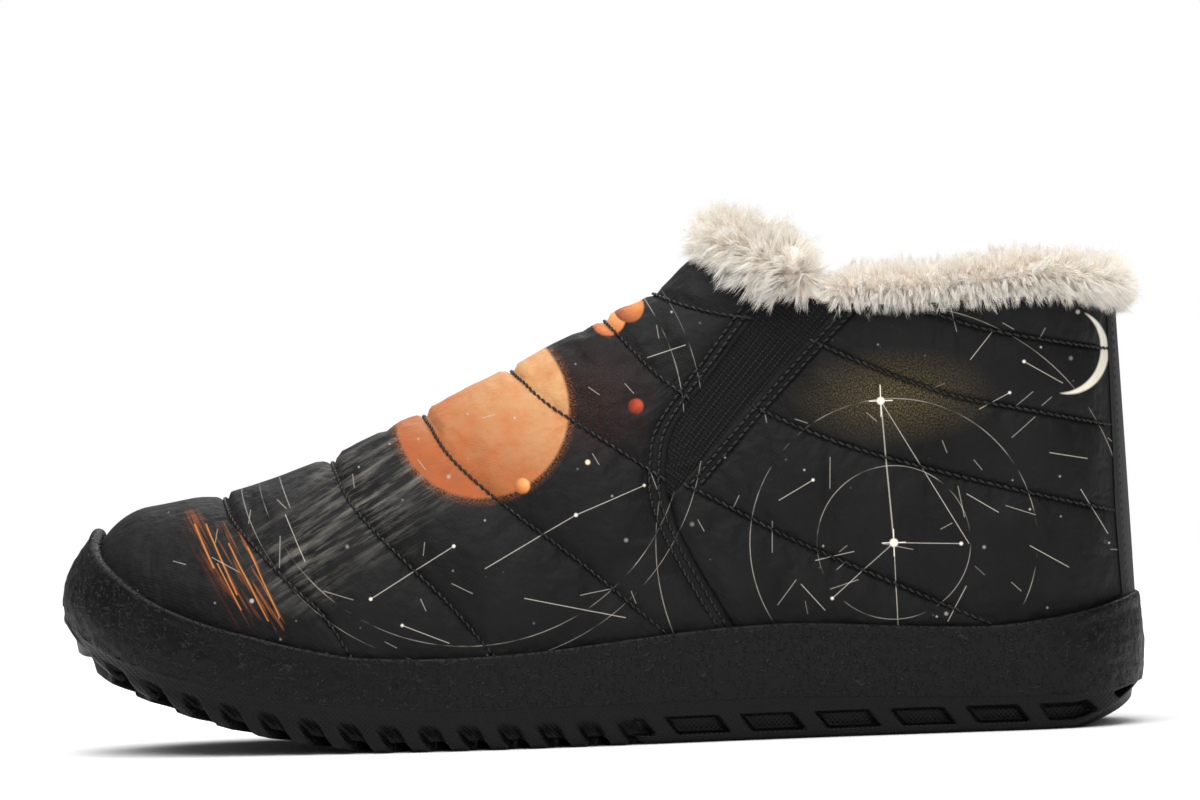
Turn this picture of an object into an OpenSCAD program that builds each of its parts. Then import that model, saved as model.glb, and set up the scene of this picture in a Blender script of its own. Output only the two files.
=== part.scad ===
// Slip-on winter boot, left foot: quilted shell, fleece lining, side gores and a lugged cup sole.
// The toe points along -X, the outer side of the foot is -Y, and the sole stands on z = 0.

/* [Sole] */
// Length of the boot over the sole
boot_length = 285; // [250:1:320]
// Width of the sole across the ball of the foot
ball_width = 105; // [96:1:114]
// Depth of the tread lugs
lug_depth = 4.6; // [3:0.2:5]
// Thickness of the sidewall where it meets the tread
sidewall_wall = 2.4; // [2:0.1:2.5]
// Thickness of the floor of the sidewall cup
sidewall_floor = 1.8; // [1:0.1:2]
// Thickness of the insole board
board_thickness = 1.3; // [1:0.1:1.6]
// Thickness of the removable footbed's foam
footbed_foam_thickness = 4; // [3:0.5:6]
// Thickness of the fleece cover on the footbed
footbed_pile = 3; // [2:0.5:4]

/* [Upper] */
// Thickness of the woven outer fabric
shell_thickness = 0.8; // [0.6:0.1:0.9]
// Thickness of the quilted wadding
wadding_thickness = 1.9; // [1.2:0.1:2]
// Thickness of the toe puff and heel counter
stiffener_thickness = 0.8; // [0.6:0.1:0.9]
// Thickness of the fleece lining
lining_pile = 2.8; // [2:0.2:3.4]
// Thickness of the elastic side gore
gore_thickness = 0.8; // [0.6:0.1:0.9]
// Radius of the fleece roll round the collar
cuff_radius = 6.6; // [5:0.2:7]
// Width of the strip over the heel seam
heel_strip_width = 24; // [16:1:30]
// Diameter of the sewing thread
thread_diameter = 0.7; // [0.5:0.1:0.9]

/* [Hidden] */

design_length = 285; // the profile points below are drawn for this length
size_k = boot_length / design_length;
width_k = ball_width / 105 / size_k;

// --- Profiles, as [x, value] points in millimetres on the design length ---

x_toe = -142.5;
x_heel = 142.5;
toe_round = 50; // length over which the toe rounds off in plan
heel_round = 36;
half_width = [[-142, 44], [-100, 47.5], [-60, 52], [-38, 52.5], [0, 47.5], [30, 42.5], [60, 40], [90, 39.5], [142, 38]];
centre_line = [[-142, 8], [-100, 5], [-60, 1], [-30, -1.5], [0, -3], [30, -3], [60, -1.5], [90, -0.3], [142, 0]];

// Heights along the sole: lug tips, tread edge, widest level, sidewall lip and the level the upper is lasted on
z_ground = [[-142, 33], [-138, 26], [-129, 18.7], [-114, 12.3], [-105, 9], [-90, 4.8], [-72, 1.5], [-58, 0],
            [-50, 0], [118, 0], [124, 0], [131, 2.3], [137, 5.4], [142, 10]];
z_parting = [[-142, 39], [-140, 33.5], [-134, 28.5], [-124, 24], [-111, 20], [-98, 17], [-84, 14.2], [-70, 12.3],
             [-40, 10.4], [0, 10.5], [50, 10.6], [100, 9], [128, 8.8], [142, 11]];
z_widest = [[-142, 39], [-125, 31], [-100, 25], [-60, 18.5], [-20, 17.5], [30, 19.5], [80, 19], [142, 21]];
z_lip = [[-142.5, 59], [-140, 55], [-135, 50.5], [-127, 45.5], [-119, 40.8], [-105, 35], [-92, 31.2], [-77, 27.3],
         [-64, 25], [-40, 24.2], [-15, 25.3], [17, 28.4], [35, 29.7], [53, 30], [79, 28.4], [100, 27.7],
         [115, 28.8], [128, 30.8], [142, 34.2]];
lean = [[-142, 0.026], [-125, 0.018], [-100, 0.009], [142, 0.008]]; // how hard the sidewall curls inwards
z_last = [[-142, 36.5], [-137, 34.5], [-129, 30], [-121, 26.5], [-105, 21.5], [-90, 18], [-72, 15.6], [-40, 14],
          [0, 14.5], [40, 15.5], [80, 16.5], [142, 17]];

// Upper: ridge over the foot, then the run of the collar edge
upper_inset = 2.8; // from the sole's outline to the fabric
toe_gap = 1.2; // the toe stands this much further in
ridge_round = 20;
throat_x = 29.5;
z_ridge = [[-140, 63.2], [-124, 63.4], [-115, 64], [-104, 65.3], [-90, 67.6], [-72, 73.8], [-56, 81.2], [-24, 96.2],
           [0, 108.2], [16, 116.4], [throat_x, 126.6]];
ridge_slope = 0.85; // beyond the throat the arch goes on as an open funnel
ridge_flare = 0.0016;
arch_power = [[-142, 2.4], [-90, 2.3], [-40, 1.9], [0, 1.7], [142, 1.7]];
z_collar = [[0, 136], [throat_x, 126.6], [34, 124], [38, 120.8], [42, 118], [48, 115.8], [58, 114.2], [64, 113],
            [70, 112.4], [79, 112], [96, 112.3], [115, 112.8], [130, 110.8], [142, 108.5]];
back_lean = 0.04; // how far the back comes forward for each millimetre up
back_lean_from = 34;
taper_height = 95;
ankle_taper = 0.03;

// Side-view lines, as [x, z] points
gore_tip = [18.1, 64.5];
gore_front = [gore_tip, [18.4, 74], [20, 81], [25, 88.7], [34, 99.7], [44.5, 113.2], [46.5, 115.9]];
gore_rear = [[18.3, 64.5], [22.2, 67.8], [40.5, 87.8], [57, 104.9], [65, 112.9]];
seam_below = [[43, 13], [34.4, 29.7], [25.4, 45.8], [20.5, 56]];
vamp_collar = [[42, 118], [38, 120.8], [34, 124], [31, 126], [throat_x, 126.6]];
vamp_quilts = [
  [[-98.1, 65.6], [-96, 61], [-90, 54], [-81, 44.3], [-72.4, 35.9], [-65, 26]],
  [[-69.5, 74.2], [-65.5, 66], [-59, 58], [-50, 48.6], [-39, 37.4], [-27.5, 25.4]],
  [[-44.8, 86], [-40, 78.2], [-33, 70.7], [-22, 61.2], [-4, 46.8], [17, 29.5]],
  [[-21.2, 97.2], [-14, 90.3], [-5.7, 84.4], [3.7, 78], [12, 72.3]],
  [[3.5, 109.6], [10.5, 102], [15, 97.2], [19.6, 93.2]],
  [[16.8, 116.2], [23, 114], [29, 112.2], [35.6, 110.7]]
];
quarter_quilts = [
  [[84, 111.4], [92, 108.2], [103, 104.6], [118, 101.4], [132, 98.7]],
  [[63.6, 99.8], [69, 97.4], [80, 92.6], [95, 87.2], [110, 83.9], [132.5, 78.8]],
  [[47, 83.4], [53.4, 80.5], [68, 74.6], [87, 68.7], [113, 61.6], [133, 56.5]],
  [[29.5, 63], [38, 58.2], [48.6, 52.5], [67, 43.7], [85, 35.4], [102, 28.6]]
];
front_hem_rows = [[-4.6, 0], [-2.2, 0]]; // how far each stitch row stands off the panel edge, along x
rear_hem_rows = [1.8, 4.4];

// Layers of the upper, as depths below the outer fabric's surface
layer_gap = 0.3;
shell_in = shell_thickness;
wadding_out = shell_in + layer_gap;
wadding_in = wadding_out + wadding_thickness;
stiffener_out = wadding_in + layer_gap;
stiffener_in = stiffener_out + stiffener_thickness;
lining_out = stiffener_in + layer_gap;
lining_in = lining_out + lining_pile;
lining_lift = board_thickness + 1.1; // the soft layers stop just above the board
hem = 9; // width of the hem, which holds no wadding
seam_gap = 1;

// --- Small functions ---

function clamp01(t) = min(1, max(0, t));
function mix(a, b, t) = a + (b - a) * t;
function knot_slope(p, i) =
  let(a = max(i - 1, 0), b = min(i + 1, len(p) - 1)) (p[b][1] - p[a][1]) / (p[b][0] - p[a][0]);
function knot_span(p, x, i = 0) = i >= len(p) - 2 || x < p[i + 1][0] ? i : knot_span(p, x, i + 1);
// A smooth curve through [x, value] points, held level past its ends
function curve(p, x) =
  let(i = knot_span(p, x), h = p[i + 1][0] - p[i][0], t = clamp01((x - p[i][0]) / h),
      m0 = knot_slope(p, i) * h, m1 = knot_slope(p, i + 1) * h)
  p[i][1] * (2 * t ^ 3 - 3 * t ^ 2 + 1) + m0 * (t ^ 3 - 2 * t ^ 2 + t)
  + p[i + 1][1] * (3 * t ^ 2 - 2 * t ^ 3) + m1 * (t ^ 3 - t ^ 2);
// A point at a share of the way along a line of [x, z] points
function along(p, t) =
  let(n = len(p) - 1, px = [for (i = [0:n]) [i / n, p[i][0]]], pz = [for (i = [0:n]) [i / n, p[i][1]]])
  [curve(px, t), curve(pz, t)];
function ground(x) = max(0, curve(z_ground, x));
function round_end(gap, reach, power) = (1 - (1 - clamp01(gap / reach)) ^ power) ^ (1 / power);
function unit(v) = v / norm(v);

// --- Sole outline ---

half_count = 34; // points along one side of the sole
function sole_half(x) =
  curve(half_width, x) * round_end(x - x_toe, toe_round, 2.2) * round_end(x_heel - x, heel_round, 2.3);
function outline_x(k) = -cos(180 * k / half_count) * x_heel;
function outline_point(k) =
  let(side = k <= half_count ? -1 : 1, x = outline_x(k <= half_count ? k : 2 * half_count - k))
  [x, curve(centre_line, x) + side * sole_half(x)];
outline = [for (k = [0:2 * half_count - 1]) outline_point(k)];
inward = [for (k = [0:2 * half_count - 1])
  let(n = 2 * half_count, t = unit(outline[(k + 1) % n] - outline[(k + n - 1) % n])) [-t[1], t[0]]];
y_mid = (min([for (p = outline) p[1]]) + max([for (p = outline) p[1]])) / 2;
// One ring round the sole: inset(x) in from the outline, at the height level(x). A level that is read
// at the moved point makes a surface that fits flat layers; otherwise it follows the outline.
function ring(inset, level, at_point = true) =
  [for (k = [0:2 * half_count - 1])
    let(p = outline[k], n = inward[k], d = inset(p[0]), x = p[0] + n[0] * d)
    [x, p[1] + n[1] * d, level(at_point ? x : p[0])]];
function sidewall_inset(x, z) = curve(lean, x) * (z - curve(z_widest, x)) ^ 2;

// --- Upper surface ---

x_upper_toe = x_toe + upper_inset + toe_gap;
x_upper_heel = x_heel - upper_inset;
function back_x(z) = x_upper_heel - back_lean * (z - back_lean_from);
function ridge_line(x) =
  x <= throat_x ? curve(z_ridge, x)
  : curve(z_ridge, throat_x) + ridge_slope * (x - throat_x) + ridge_flare * (x - throat_x) ^ 3;
function base_z(x, lift) = curve(z_last, x) + lift;
function arch_height(x, d) =
  (ridge_line(x) - 1.1 * d - base_z(x, 0)) * sqrt(1 - (1 - clamp01((x - x_upper_toe - d) / ridge_round)) ^ 2);
function ridge_z(x, d) = base_z(x, 0) + arch_height(x, d);
function upper_half(x, d) =
  (curve(half_width, x) - upper_inset - d)
  * round_end(x - x_upper_toe - d, toe_round, 2.2) * round_end(x_upper_heel - d - x, heel_round, 2.2);
// How much the ankle narrows at a side-view point
function slim(x, z) = 1 - ankle_taper * clamp01((z - 30) / taper_height) * clamp01((x - 20) / 40);
// Share of the arch height at a side-view point, and its angle from the ridge
function arch_share(x, z, d) = clamp01((z - base_z(x, 0)) / max(0.01, arch_height(x, d)));
function arch_turn(x, z, d) = acos(arch_share(x, z, d) ^ (curve(arch_power, x) / 2));
// That angle counted so that 90 is the level the layer starts from
function arch_angle(x, z, d, lift) = 90 * arch_turn(x, z, d) / arch_turn(x, base_z(x, lift), d);
// A point of the arch over the foot: angle -90 is the outer sole edge, 0 the ridge and 90 the inner edge
function arch_point(x, angle, d, lift) =
  let(turn = angle / 90 * arch_turn(x, base_z(x, lift), d),
      z = base_z(x, 0) + arch_height(x, d) * abs(cos(turn)) ^ (2 / curve(arch_power, x)))
  [x, curve(centre_line, x) + upper_half(x, d) * slim(x, z) * sin(turn), z];
// A point of the wall above a side-view point, on side -1 (outer) or 1 (inner)
function wall_point(x, z, side, d) =
  let(back = back_x(z), from = 40,
      xe = x > from ? from + (x - from) * (x_upper_heel - from) / (back - from) : x)
  [x, curve(centre_line, x)
      + side * upper_half(xe, d) * slim(x, z) * sqrt(1 - arch_share(xe, z, d) ^ curve(arch_power, xe)), z];

// --- Solids from points ---

function grid_faces(cols, rows, from, flip) =
  [for (i = [0:cols - 2], j = [0:rows - 2])
    let(a = from + i * rows + j, b = a + rows)
    each flip ? [[a, a + 1, b], [a + 1, b + 1, b]] : [[a, b, a + 1], [a + 1, b, b + 1]]];
// Strip that joins two equal runs of points
function strip_faces(p, q, flip) =
  [for (i = [0:len(p) - 2])
    each flip ? [[p[i], p[i + 1], q[i]], [p[i + 1], q[i + 1], q[i]]]
              : [[p[i], q[i], p[i + 1]], [p[i + 1], q[i], q[i + 1]]]];

// A panel with thickness: outer and inner are grids of the same size, [column][row]
module panel(outer, inner, flip = false) {
  cols = len(outer);
  rows = len(outer[0]);
  n = cols * rows;
  first = [for (j = [0:rows - 1]) j];
  last = [for (j = [0:rows - 1]) n - rows + j];
  low = [for (i = [0:cols - 1]) i * rows];
  high = [for (i = [0:cols - 1]) i * rows + rows - 1];
  polyhedron(
    [for (c = outer) each c, for (c = inner) each c],
    [each grid_faces(cols, rows, 0, flip), each grid_faces(cols, rows, n, !flip),
     each strip_faces(first, first + [for (v = first) n], !flip),
     each strip_faces(last, last + [for (v = last) n], flip),
     each strip_faces(low, low + [for (v = low) n], flip),
     each strip_faces(high, high + [for (v = high) n], !flip)]);
}

// A dome that closes in one point at the toe: first the tip of each skin, then its grid
module domed_panel(tip_outer, outer, tip_inner, inner) {
  cols = len(outer);
  rows = len(outer[0]);
  n = cols * rows + 1;
  last = [for (j = [0:rows - 1]) n - rows + j];
  low = [0, for (i = [0:cols - 1]) 1 + i * rows];
  high = [0, for (i = [0:cols - 1]) i * rows + rows];
  polyhedron(
    [tip_outer, for (c = outer) each c, tip_inner, for (c = inner) each c],
    [each grid_faces(cols, rows, 1, true), each grid_faces(cols, rows, n + 1, false),
     for (j = [0:rows - 2]) each [[0, j + 2, j + 1], [n, n + j + 1, n + j + 2]],
     each strip_faces(last, last + [for (v = last) n], true),
     each strip_faces(low, low + [for (v = low) n], true),
     each strip_faces(high, high + [for (v = high) n], false)]);
}

// A solid through rings of equal length, closed across the boot at both ends
module loft(rings) {
  n = len(rings[0]);
  m = n / 2;
  top = (len(rings) - 1) * n;
  function cap(from, flip) =
    [for (k = [0:m - 1])
      let(a = from + k, b = a + 1, c = from + (n - k) % n, d = from + n - k - 1)
      each k == 0 ? [flip ? [a, b, d] : [a, d, b]]
         : k == m - 1 ? [flip ? [a, b, c] : [a, c, b]]
         : flip ? [[a, b, c], [b, d, c]] : [[a, c, b], [b, c, d]]];
  polyhedron(
    [for (r = rings) each r],
    [for (r = [0:len(rings) - 2], k = [0:n - 1])
      let(a = r * n + k, b = r * n + (k + 1) % n) each [[a, a + n, b], [b, a + n, b + n]],
     each cap(0, true), each cap(top, false)]);
}

// A tube along points, with an elliptical section whose size follows the list of [across, up] radii
module tube(path, radii, sides) {
  last = len(path) - 1;
  sections = [for (i = [0:last])
    let(t = unit(path[min(i + 1, last)] - path[max(i - 1, 0)]), n = unit(cross(t, [0, 0, 1])), u = cross(n, t))
    [for (k = [0:sides - 1])
      path[i] + n * radii[i][0] * cos(360 * k / sides) + u * radii[i][1] * sin(360 * k / sides)]];
  polyhedron(
    [for (s = sections) each s],
    [for (i = [0:last - 1], k = [0:sides - 1])
      let(a = i * sides + k, b = i * sides + (k + 1) % sides) each [[a, b, a + sides], [b, b + sides, a + sides]],
     [for (k = [sides - 1:-1:0]) k], [for (k = [0:sides - 1]) last * sides + k]]);
}

module boot() {
  translate([0, -y_mid * width_k * size_k, 0]) scale([size_k, size_k * width_k, size_k]) children();
}

// --- Sole unit ---

plate_steps = [0, 0.5, 1];
module tread_plate() {
  plate_z = function(x) min(ground(x) + lug_depth, curve(z_parting, x) - 2.2);
  loft([for (v = plate_steps)
    ring(function(x) let(z = mix(plate_z(x), curve(z_parting, x), v)) sidewall_inset(x, z) + 1.6 * (1 - v) ^ 2,
         function(x) mix(plate_z(x), curve(z_parting, x), v), false)]);
}

// A lug: a slanting bar between two plan points, that reaches from the ground into the plate
module lug(from, to, width, sides = 8) {
  across = width / cos(180 / sides);
  hull()
    for (p = [from, to])
      translate([p[0], p[1], ground(p[0])])
        rotate([0, 0, 180 / sides])
          cylinder(d1 = across - 1.6, d2 = across, $fn = sides,
                   h = min(lug_depth, curve(z_parting, p[0]) - ground(p[0]) - 2) + 0.6);
}

// A lug that starts near the sole's edge at x and slants inwards by reach
module edge_lug(x, side, width, reach, sweep, sides = 8) {
  edge = sole_half(x) - sidewall_inset(x, ground(x)) - width / 2 - 0.6;
  y = curve(centre_line, x) + side * edge;
  lug([x, y], [x + sweep, y - side * reach], width, sides);
}

module outsole() {
  color("#1b1b1c") union() {
    tread_plate();
    for (side = [-1, 1]) {
      for (x = [-122:10.5:4]) edge_lug(x, side, 7.4, 9, 5);
      for (x = [18:19.5:115]) edge_lug(x, side, 12.5, 6, 3, 4);
    }
    for (x = [-108:15:-18], side = [-1, 1])
      lug([x - 4, curve(centre_line, x) + side * 13], [x + 4, curve(centre_line, x) + side * 3.5], 6.6);
    for (x = [40:16:104]) lug([x, -7], [x, 7], 7.5);
    lug([-132, 4], [-132, 11], 5);
    lug([126, -8], [126, 8], 6);
  }
}

sidewall_steps = [0, 0.18, 0.4, 0.62, 0.82, 0.94, 1];
module sole_sidewall() {
  level = function(x, v) mix(curve(z_parting, x), curve(z_lip, x), v);
  wall = function(v) mix(sidewall_wall, 1.2, v);
  floor_z = function(x) curve(z_parting, x) + sidewall_floor;
  color("#202021") loft([
    for (v = sidewall_steps) ring(function(x) sidewall_inset(x, level(x, v)), function(x) level(x, v), false),
    for (i = [len(sidewall_steps) - 1:-1:2])
      let(v = sidewall_steps[i])
      ring(function(x) sidewall_inset(x, level(x, v)) + wall(v), function(x) level(x, v) - (v == 1 ? 0.3 : 0), false),
    ring(function(x) sidewall_inset(x, floor_z(x)) + sidewall_wall, floor_z)]);
}

// A flat layer over the sole between two levels
module sole_layer(inset, low, high) {
  loft([ring(inset, low), ring(inset, high)]);
}

shank_from = 0;
shank_to = 92;
shank_width = 15;
shank_thickness = 1.2;
module shank_bar(extra) {
  steps = 6;
  xs = [for (i = [0:steps]) mix(shank_from - extra, shank_to + extra, i / steps)];
  y = curve(centre_line, 45);
  half = shank_width / 2 + extra;
  grid = function(drop) [for (x = xs) [for (s = [-1, 1]) [x, y + s * half, base_z(x, -0.6 - drop)]]];
  panel(grid(extra > 0 ? -2 : 0), grid(shank_thickness + extra), true);
}

// Grows from 0 to 1 towards the toe's end
function toe_share(x) = clamp01((-85 - x) / 40);
module midsole_wedge() {
  color("#3a3a3c") difference() {
    sole_layer(function(x) 3.4 + 3 * toe_share(x), function(x) curve(z_parting, x) + sidewall_floor + 0.1, function(x) base_z(x, -0.5));
    shank_bar(0.3);
  }
}

module shank() { color("silver") shank_bar(0); }

board_inset = upper_inset + shell_in + 1.8;
module insole_board() {
  color("#c9b48a")
    sole_layer(function(x) board_inset, function(x) base_z(x, 0), function(x) base_z(x, board_thickness));
}

footbed_inset = upper_inset + lining_in + 4.4;
footbed_base = board_thickness + 0.4;
module footbed_layer(low, high) {
  sole_layer(function(x) footbed_inset + 5 * toe_share(x),
             function(x) base_z(x, low), function(x) base_z(x, high));
}
module footbed_foam() { color("#5b5b60") footbed_layer(footbed_base, footbed_base + footbed_foam_thickness); }
module footbed_fleece() {
  top = footbed_base + footbed_foam_thickness + 0.1;
  color("#e6dccb") footbed_layer(top, top + footbed_pile);
}

// --- Upper panels ---

vamp_angles = [0, 8, 16, 24, 31, 36, 39, 42, 46, 51, 57, 64, 72, 81, 90];
vamp_rows = [for (i = [len(vamp_angles) - 1:-1:1]) -vamp_angles[i], for (a = vamp_angles) a];
vamp_cols = 20;
function vamp_column(i) = 0.08 * i / vamp_cols + 0.92 * (i / vamp_cols) ^ 2;
vamp_line = [each seam_below, each gore_front, each vamp_collar]; // the vamp's rear edge, from the sole up
// That edge as [angle, x] points, ridge first
function vamp_edge(d, lift) =
  [for (i = [len(vamp_line) - 1:-1:0]) let(p = vamp_line[i]) [i == len(vamp_line) - 1 ? 0 : arch_angle(p[0], p[1], d, lift), p[0]]];
function vamp_grid(d, lift, back, last) =
  let(edge = vamp_edge(d, lift), tip = x_upper_toe + d)
  [for (i = [1:last])
    [for (a = vamp_rows)
      let(x = mix(tip, lookup(abs(a), edge), vamp_column(i)))
      arch_point(x - (i == last ? back : 0), a, d, lift)]];
module vamp_layer(outer, inner, lift, back = 0, last = vamp_cols) {
  tip = function(d) [x_upper_toe + d, curve(centre_line, x_toe), base_z(x_upper_toe + d, lift)];
  domed_panel(tip(outer), vamp_grid(outer, lift, back, last), tip(inner), vamp_grid(inner, lift, back, last));
}

module vamp_shell() { color("#262627") vamp_layer(0, shell_in, 0); }
module vamp_wadding() { color("#d8d8d4") vamp_layer(wadding_out, wadding_in, lining_lift, hem); }
module vamp_lining() { color("#e6dccb") vamp_layer(lining_out, lining_in, lining_lift); }
toe_puff_cols = 9;
module toe_puff() { color("#b8a98c") vamp_layer(stiffener_out, stiffener_in, lining_lift, 0, toe_puff_cols); }

// The quarter's front edge as [share of the height, x] points
function height_share(x, z) = (z - base_z(x, 0)) / (curve(z_collar, x) - base_z(x, 0));
quarter_line = [each seam_below, each gore_rear];
lining_line = [each seam_below, each gore_front];
function front_edge(line) = [for (p = line) [height_share(p[0], p[1]), p[0]]];
quarter_heights = [0, 0.12, 0.24, 0.34, 0.42, 0.48, 0.55, 0.63, 0.71, 0.79, 0.87, 0.94, 1];
// A grid from the front edge round to the back: share 1 is the front edge and 0 the middle of the heel
function quarter_grid(shares, heights, edge, gap, d, lift) =
  [for (s = shares)
    [for (v = heights)
      let(side = s < 0 ? -1 : 1, xf = lookup(v, edge) + gap,
          zb = back_x(mix(30, 109, v)) - d,
          x = xf + (zb - xf) * cos(90 * abs(s)),
          z = mix(base_z(x, lift), curve(z_collar, x), v))
      wall_point(min(x, back_x(z) - d), z, side, d)]];
module quarter_layer(shares, line, gap, outer, inner, lift, heights = quarter_heights) {
  edge = front_edge(line);
  panel(quarter_grid(shares, heights, edge, gap, outer, lift), quarter_grid(shares, heights, edge, gap, inner, lift), true);
}
function shares(from, to, count) = [for (i = [0:count]) mix(from, to, i / count)];
back_seam = 0.012; // the two quarters stop this share short of the back's middle

module quarter_shell(side) {
  color("#262627")
    quarter_layer(side < 0 ? shares(-1, -back_seam, 13) : shares(back_seam, 1, 13), quarter_line, seam_gap, 0, shell_in, 0);
}
module quarter_wadding(side) {
  color("#d8d8d4")
    quarter_layer(side < 0 ? shares(-1, -0.1, 11) : shares(0.1, 1, 11), quarter_line, hem + seam_gap,
                  wadding_out, wadding_in, lining_lift);
}
module quarter_lining() {
  color("#e6dccb") quarter_layer(shares(-1, 1, 27), lining_line, seam_gap, lining_out, lining_in, lining_lift);
}
counter_heights = [0, 0.1, 0.2, 0.3, 0.4, 0.5];
module heel_counter() {
  color("#b8a98c")
    quarter_layer(shares(-0.55, 0.55, 18), quarter_line, 12, stiffener_out, stiffener_in, lining_lift, counter_heights);
}
strip_heights = [for (i = [2:10]) i / 10 * 0.995];
strip_share = heel_strip_width / 2 / 78; // half its width, as a share of the grid's run
module heel_strip() {
  color("#1c1c1d")
    quarter_layer(shares(-strip_share, strip_share, 8), quarter_line, seam_gap, -1.1, -0.3, 0, strip_heights);
}

gore_margin = 2; // the elastic runs on under both hems
module gore(side) {
  steps = 9;
  across = 5;
  out = wadding_out;
  grid = function(d)
    [for (i = [0:across])
      [for (j = [0:steps])
        let(f = along(gore_front, j / steps), r = along(gore_rear, j / steps), t = i / across,
            x = mix(f[0] - gore_margin, r[0] + gore_margin, t),
            z = min(mix(f[1], r[1], t), curve(z_collar, x) - 0.2))
        wall_point(x, z, side, d)]];
  color("#0f0f10") panel(grid(out), grid(out + gore_thickness), side < 0);
}

// --- Fleece cuffs on the collar edge ---

cuff_depth = lining_in / 2;
cuff_seat = 0.3; // the roll stands this far off the fabric's edge
function cuff_radii(shares, r) = [for (t = shares) r * max(0.4, round_end(1 - abs(t), 0.16, 2))];
// The roll's middle, square to the collar's edge in the side view
function cuff_point(p, r) =
  let(x = max(p[0], throat_x + 1), slope = (curve(z_collar, x + 1) - curve(z_collar, x - 1)) / 2,
      n = unit([-slope, 1]) * (r + cuff_seat))
  [p[0] + n[0], p[1], curve(z_collar, p[0]) + n[1]];
front_cuff_end = 55; // where the front cuff ends, along x
rear_cuff_start = 64;
module collar_cuff_front() {
  ts = shares(-1, 1, 26);
  radii = cuff_radii(ts, cuff_radius);
  steps = 10;
  // The collar's edge as [angle, x] points
  edge = [for (i = [0:steps])
    let(x = mix(throat_x, front_cuff_end, (i / steps) ^ 1.6))
    [i == 0 ? 0 : arch_angle(x, min(curve(z_collar, x), ridge_z(x, cuff_depth)), cuff_depth, 0), x]];
  path = [for (i = [0:len(ts) - 1])
    let(a = edge[steps][0] * ts[i], p = arch_point(lookup(abs(a), edge), a, cuff_depth, 0)) cuff_point(p, radii[i])];
  color("#efe6d8") tube(path, [for (r = radii) [r, r]], 10);
}
module collar_cuff_rear() {
  ts = shares(-1, 1, 34);
  radii = cuff_radii(ts, cuff_radius);
  back = back_x(114) - cuff_depth;
  path = [for (i = [0:len(ts) - 1])
    let(t = ts[i], x = mix(rear_cuff_start, back, cos(90 * t)),
        p = wall_point(min(x, back - 0.01), curve(z_collar, x), t < 0 ? -1 : 1, cuff_depth)) cuff_point(p, radii[i])];
  color("#efe6d8") tube(path, [for (r = radii) [r, r]], 10);
}

// --- Threads ---

thread_r = thread_diameter / 2;
thread_out = -thread_r - 0.8; // the thread lies on the fabric
function quilt_path(line, side, count) =
  [for (i = [0:count]) let(p = along(line, i / count)) wall_point(p[0], min(p[1], ridge_z(p[0], thread_out)), side, thread_out)];
module thread(path) { tube(path, [for (p = path) [thread_r, thread_r]], 4); }
module vamp_quilt_thread() {
  color("#050505")
    for (line = vamp_quilts, side = [-1, 1])
      thread(quilt_path([for (i = [0:len(line) - 1]) line[i] - (i == 0 ? [0, 0.6] : [0, 0])], side, 14));
}
module quarter_quilt_thread(side) {
  color("#050505") for (line = quarter_quilts) thread(quilt_path(line, side, 18));
}
module gore_front_stitch(side) {
  line = [for (p = [each [for (i = [1:3]) seam_below[i]], each gore_front]) p];
  color("#050505")
    for (row = front_hem_rows) thread(quilt_path([for (p = line) [p[0] + row[0], p[1]]], side, 16));
}
module gore_rear_stitch(side) {
  color("#050505")
    for (row = rear_hem_rows)
      thread(quilt_path([for (i = [1:len(gore_rear) - 1]) [gore_rear[i][0] + row, gore_rear[i][1] - 1]], side, 12));
}
module heel_strip_stitch() {
  edge = front_edge(quarter_line);
  color("#050505")
    for (s = [-1, 1])
      thread(quarter_grid([s * (strip_share - 0.018)], [for (i = [5:19]) i / 20], edge, seam_gap, -1.1 + thread_out, 0)[0]);
}

boot() outsole();
boot() sole_sidewall();
boot() midsole_wedge();
boot() shank();
boot() insole_board();
boot() footbed_foam();
boot() footbed_fleece();
boot() vamp_shell();
boot() vamp_wadding();
boot() vamp_lining();
boot() toe_puff();
boot() quarter_shell(-1);  // quarter_shell_lateral
boot() quarter_shell(1);  // quarter_shell_medial
boot() quarter_wadding(-1);  // quarter_wadding_lateral
boot() quarter_wadding(1);  // quarter_wadding_medial
boot() quarter_lining();
boot() heel_counter();
boot() heel_strip();
boot() gore(-1);  // gore_lateral
boot() gore(1);  // gore_medial
boot() collar_cuff_front();
boot() collar_cuff_rear();
boot() vamp_quilt_thread();
boot() quarter_quilt_thread(-1);  // quarter_quilt_thread_lateral
boot() quarter_quilt_thread(1);  // quarter_quilt_thread_medial
boot() gore_front_stitch(-1);  // gore_front_stitch_lateral
boot() gore_front_stitch(1);  // gore_front_stitch_medial
boot() gore_rear_stitch(-1);  // gore_rear_stitch_lateral
boot() gore_rear_stitch(1);  // gore_rear_stitch_medial
boot() heel_strip_stitch();
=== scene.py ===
import math
from functools import partial
import bpy
import numpy as np
from mathutils import Matrix, Vector
from mathutils.kdtree import KDTree


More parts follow.
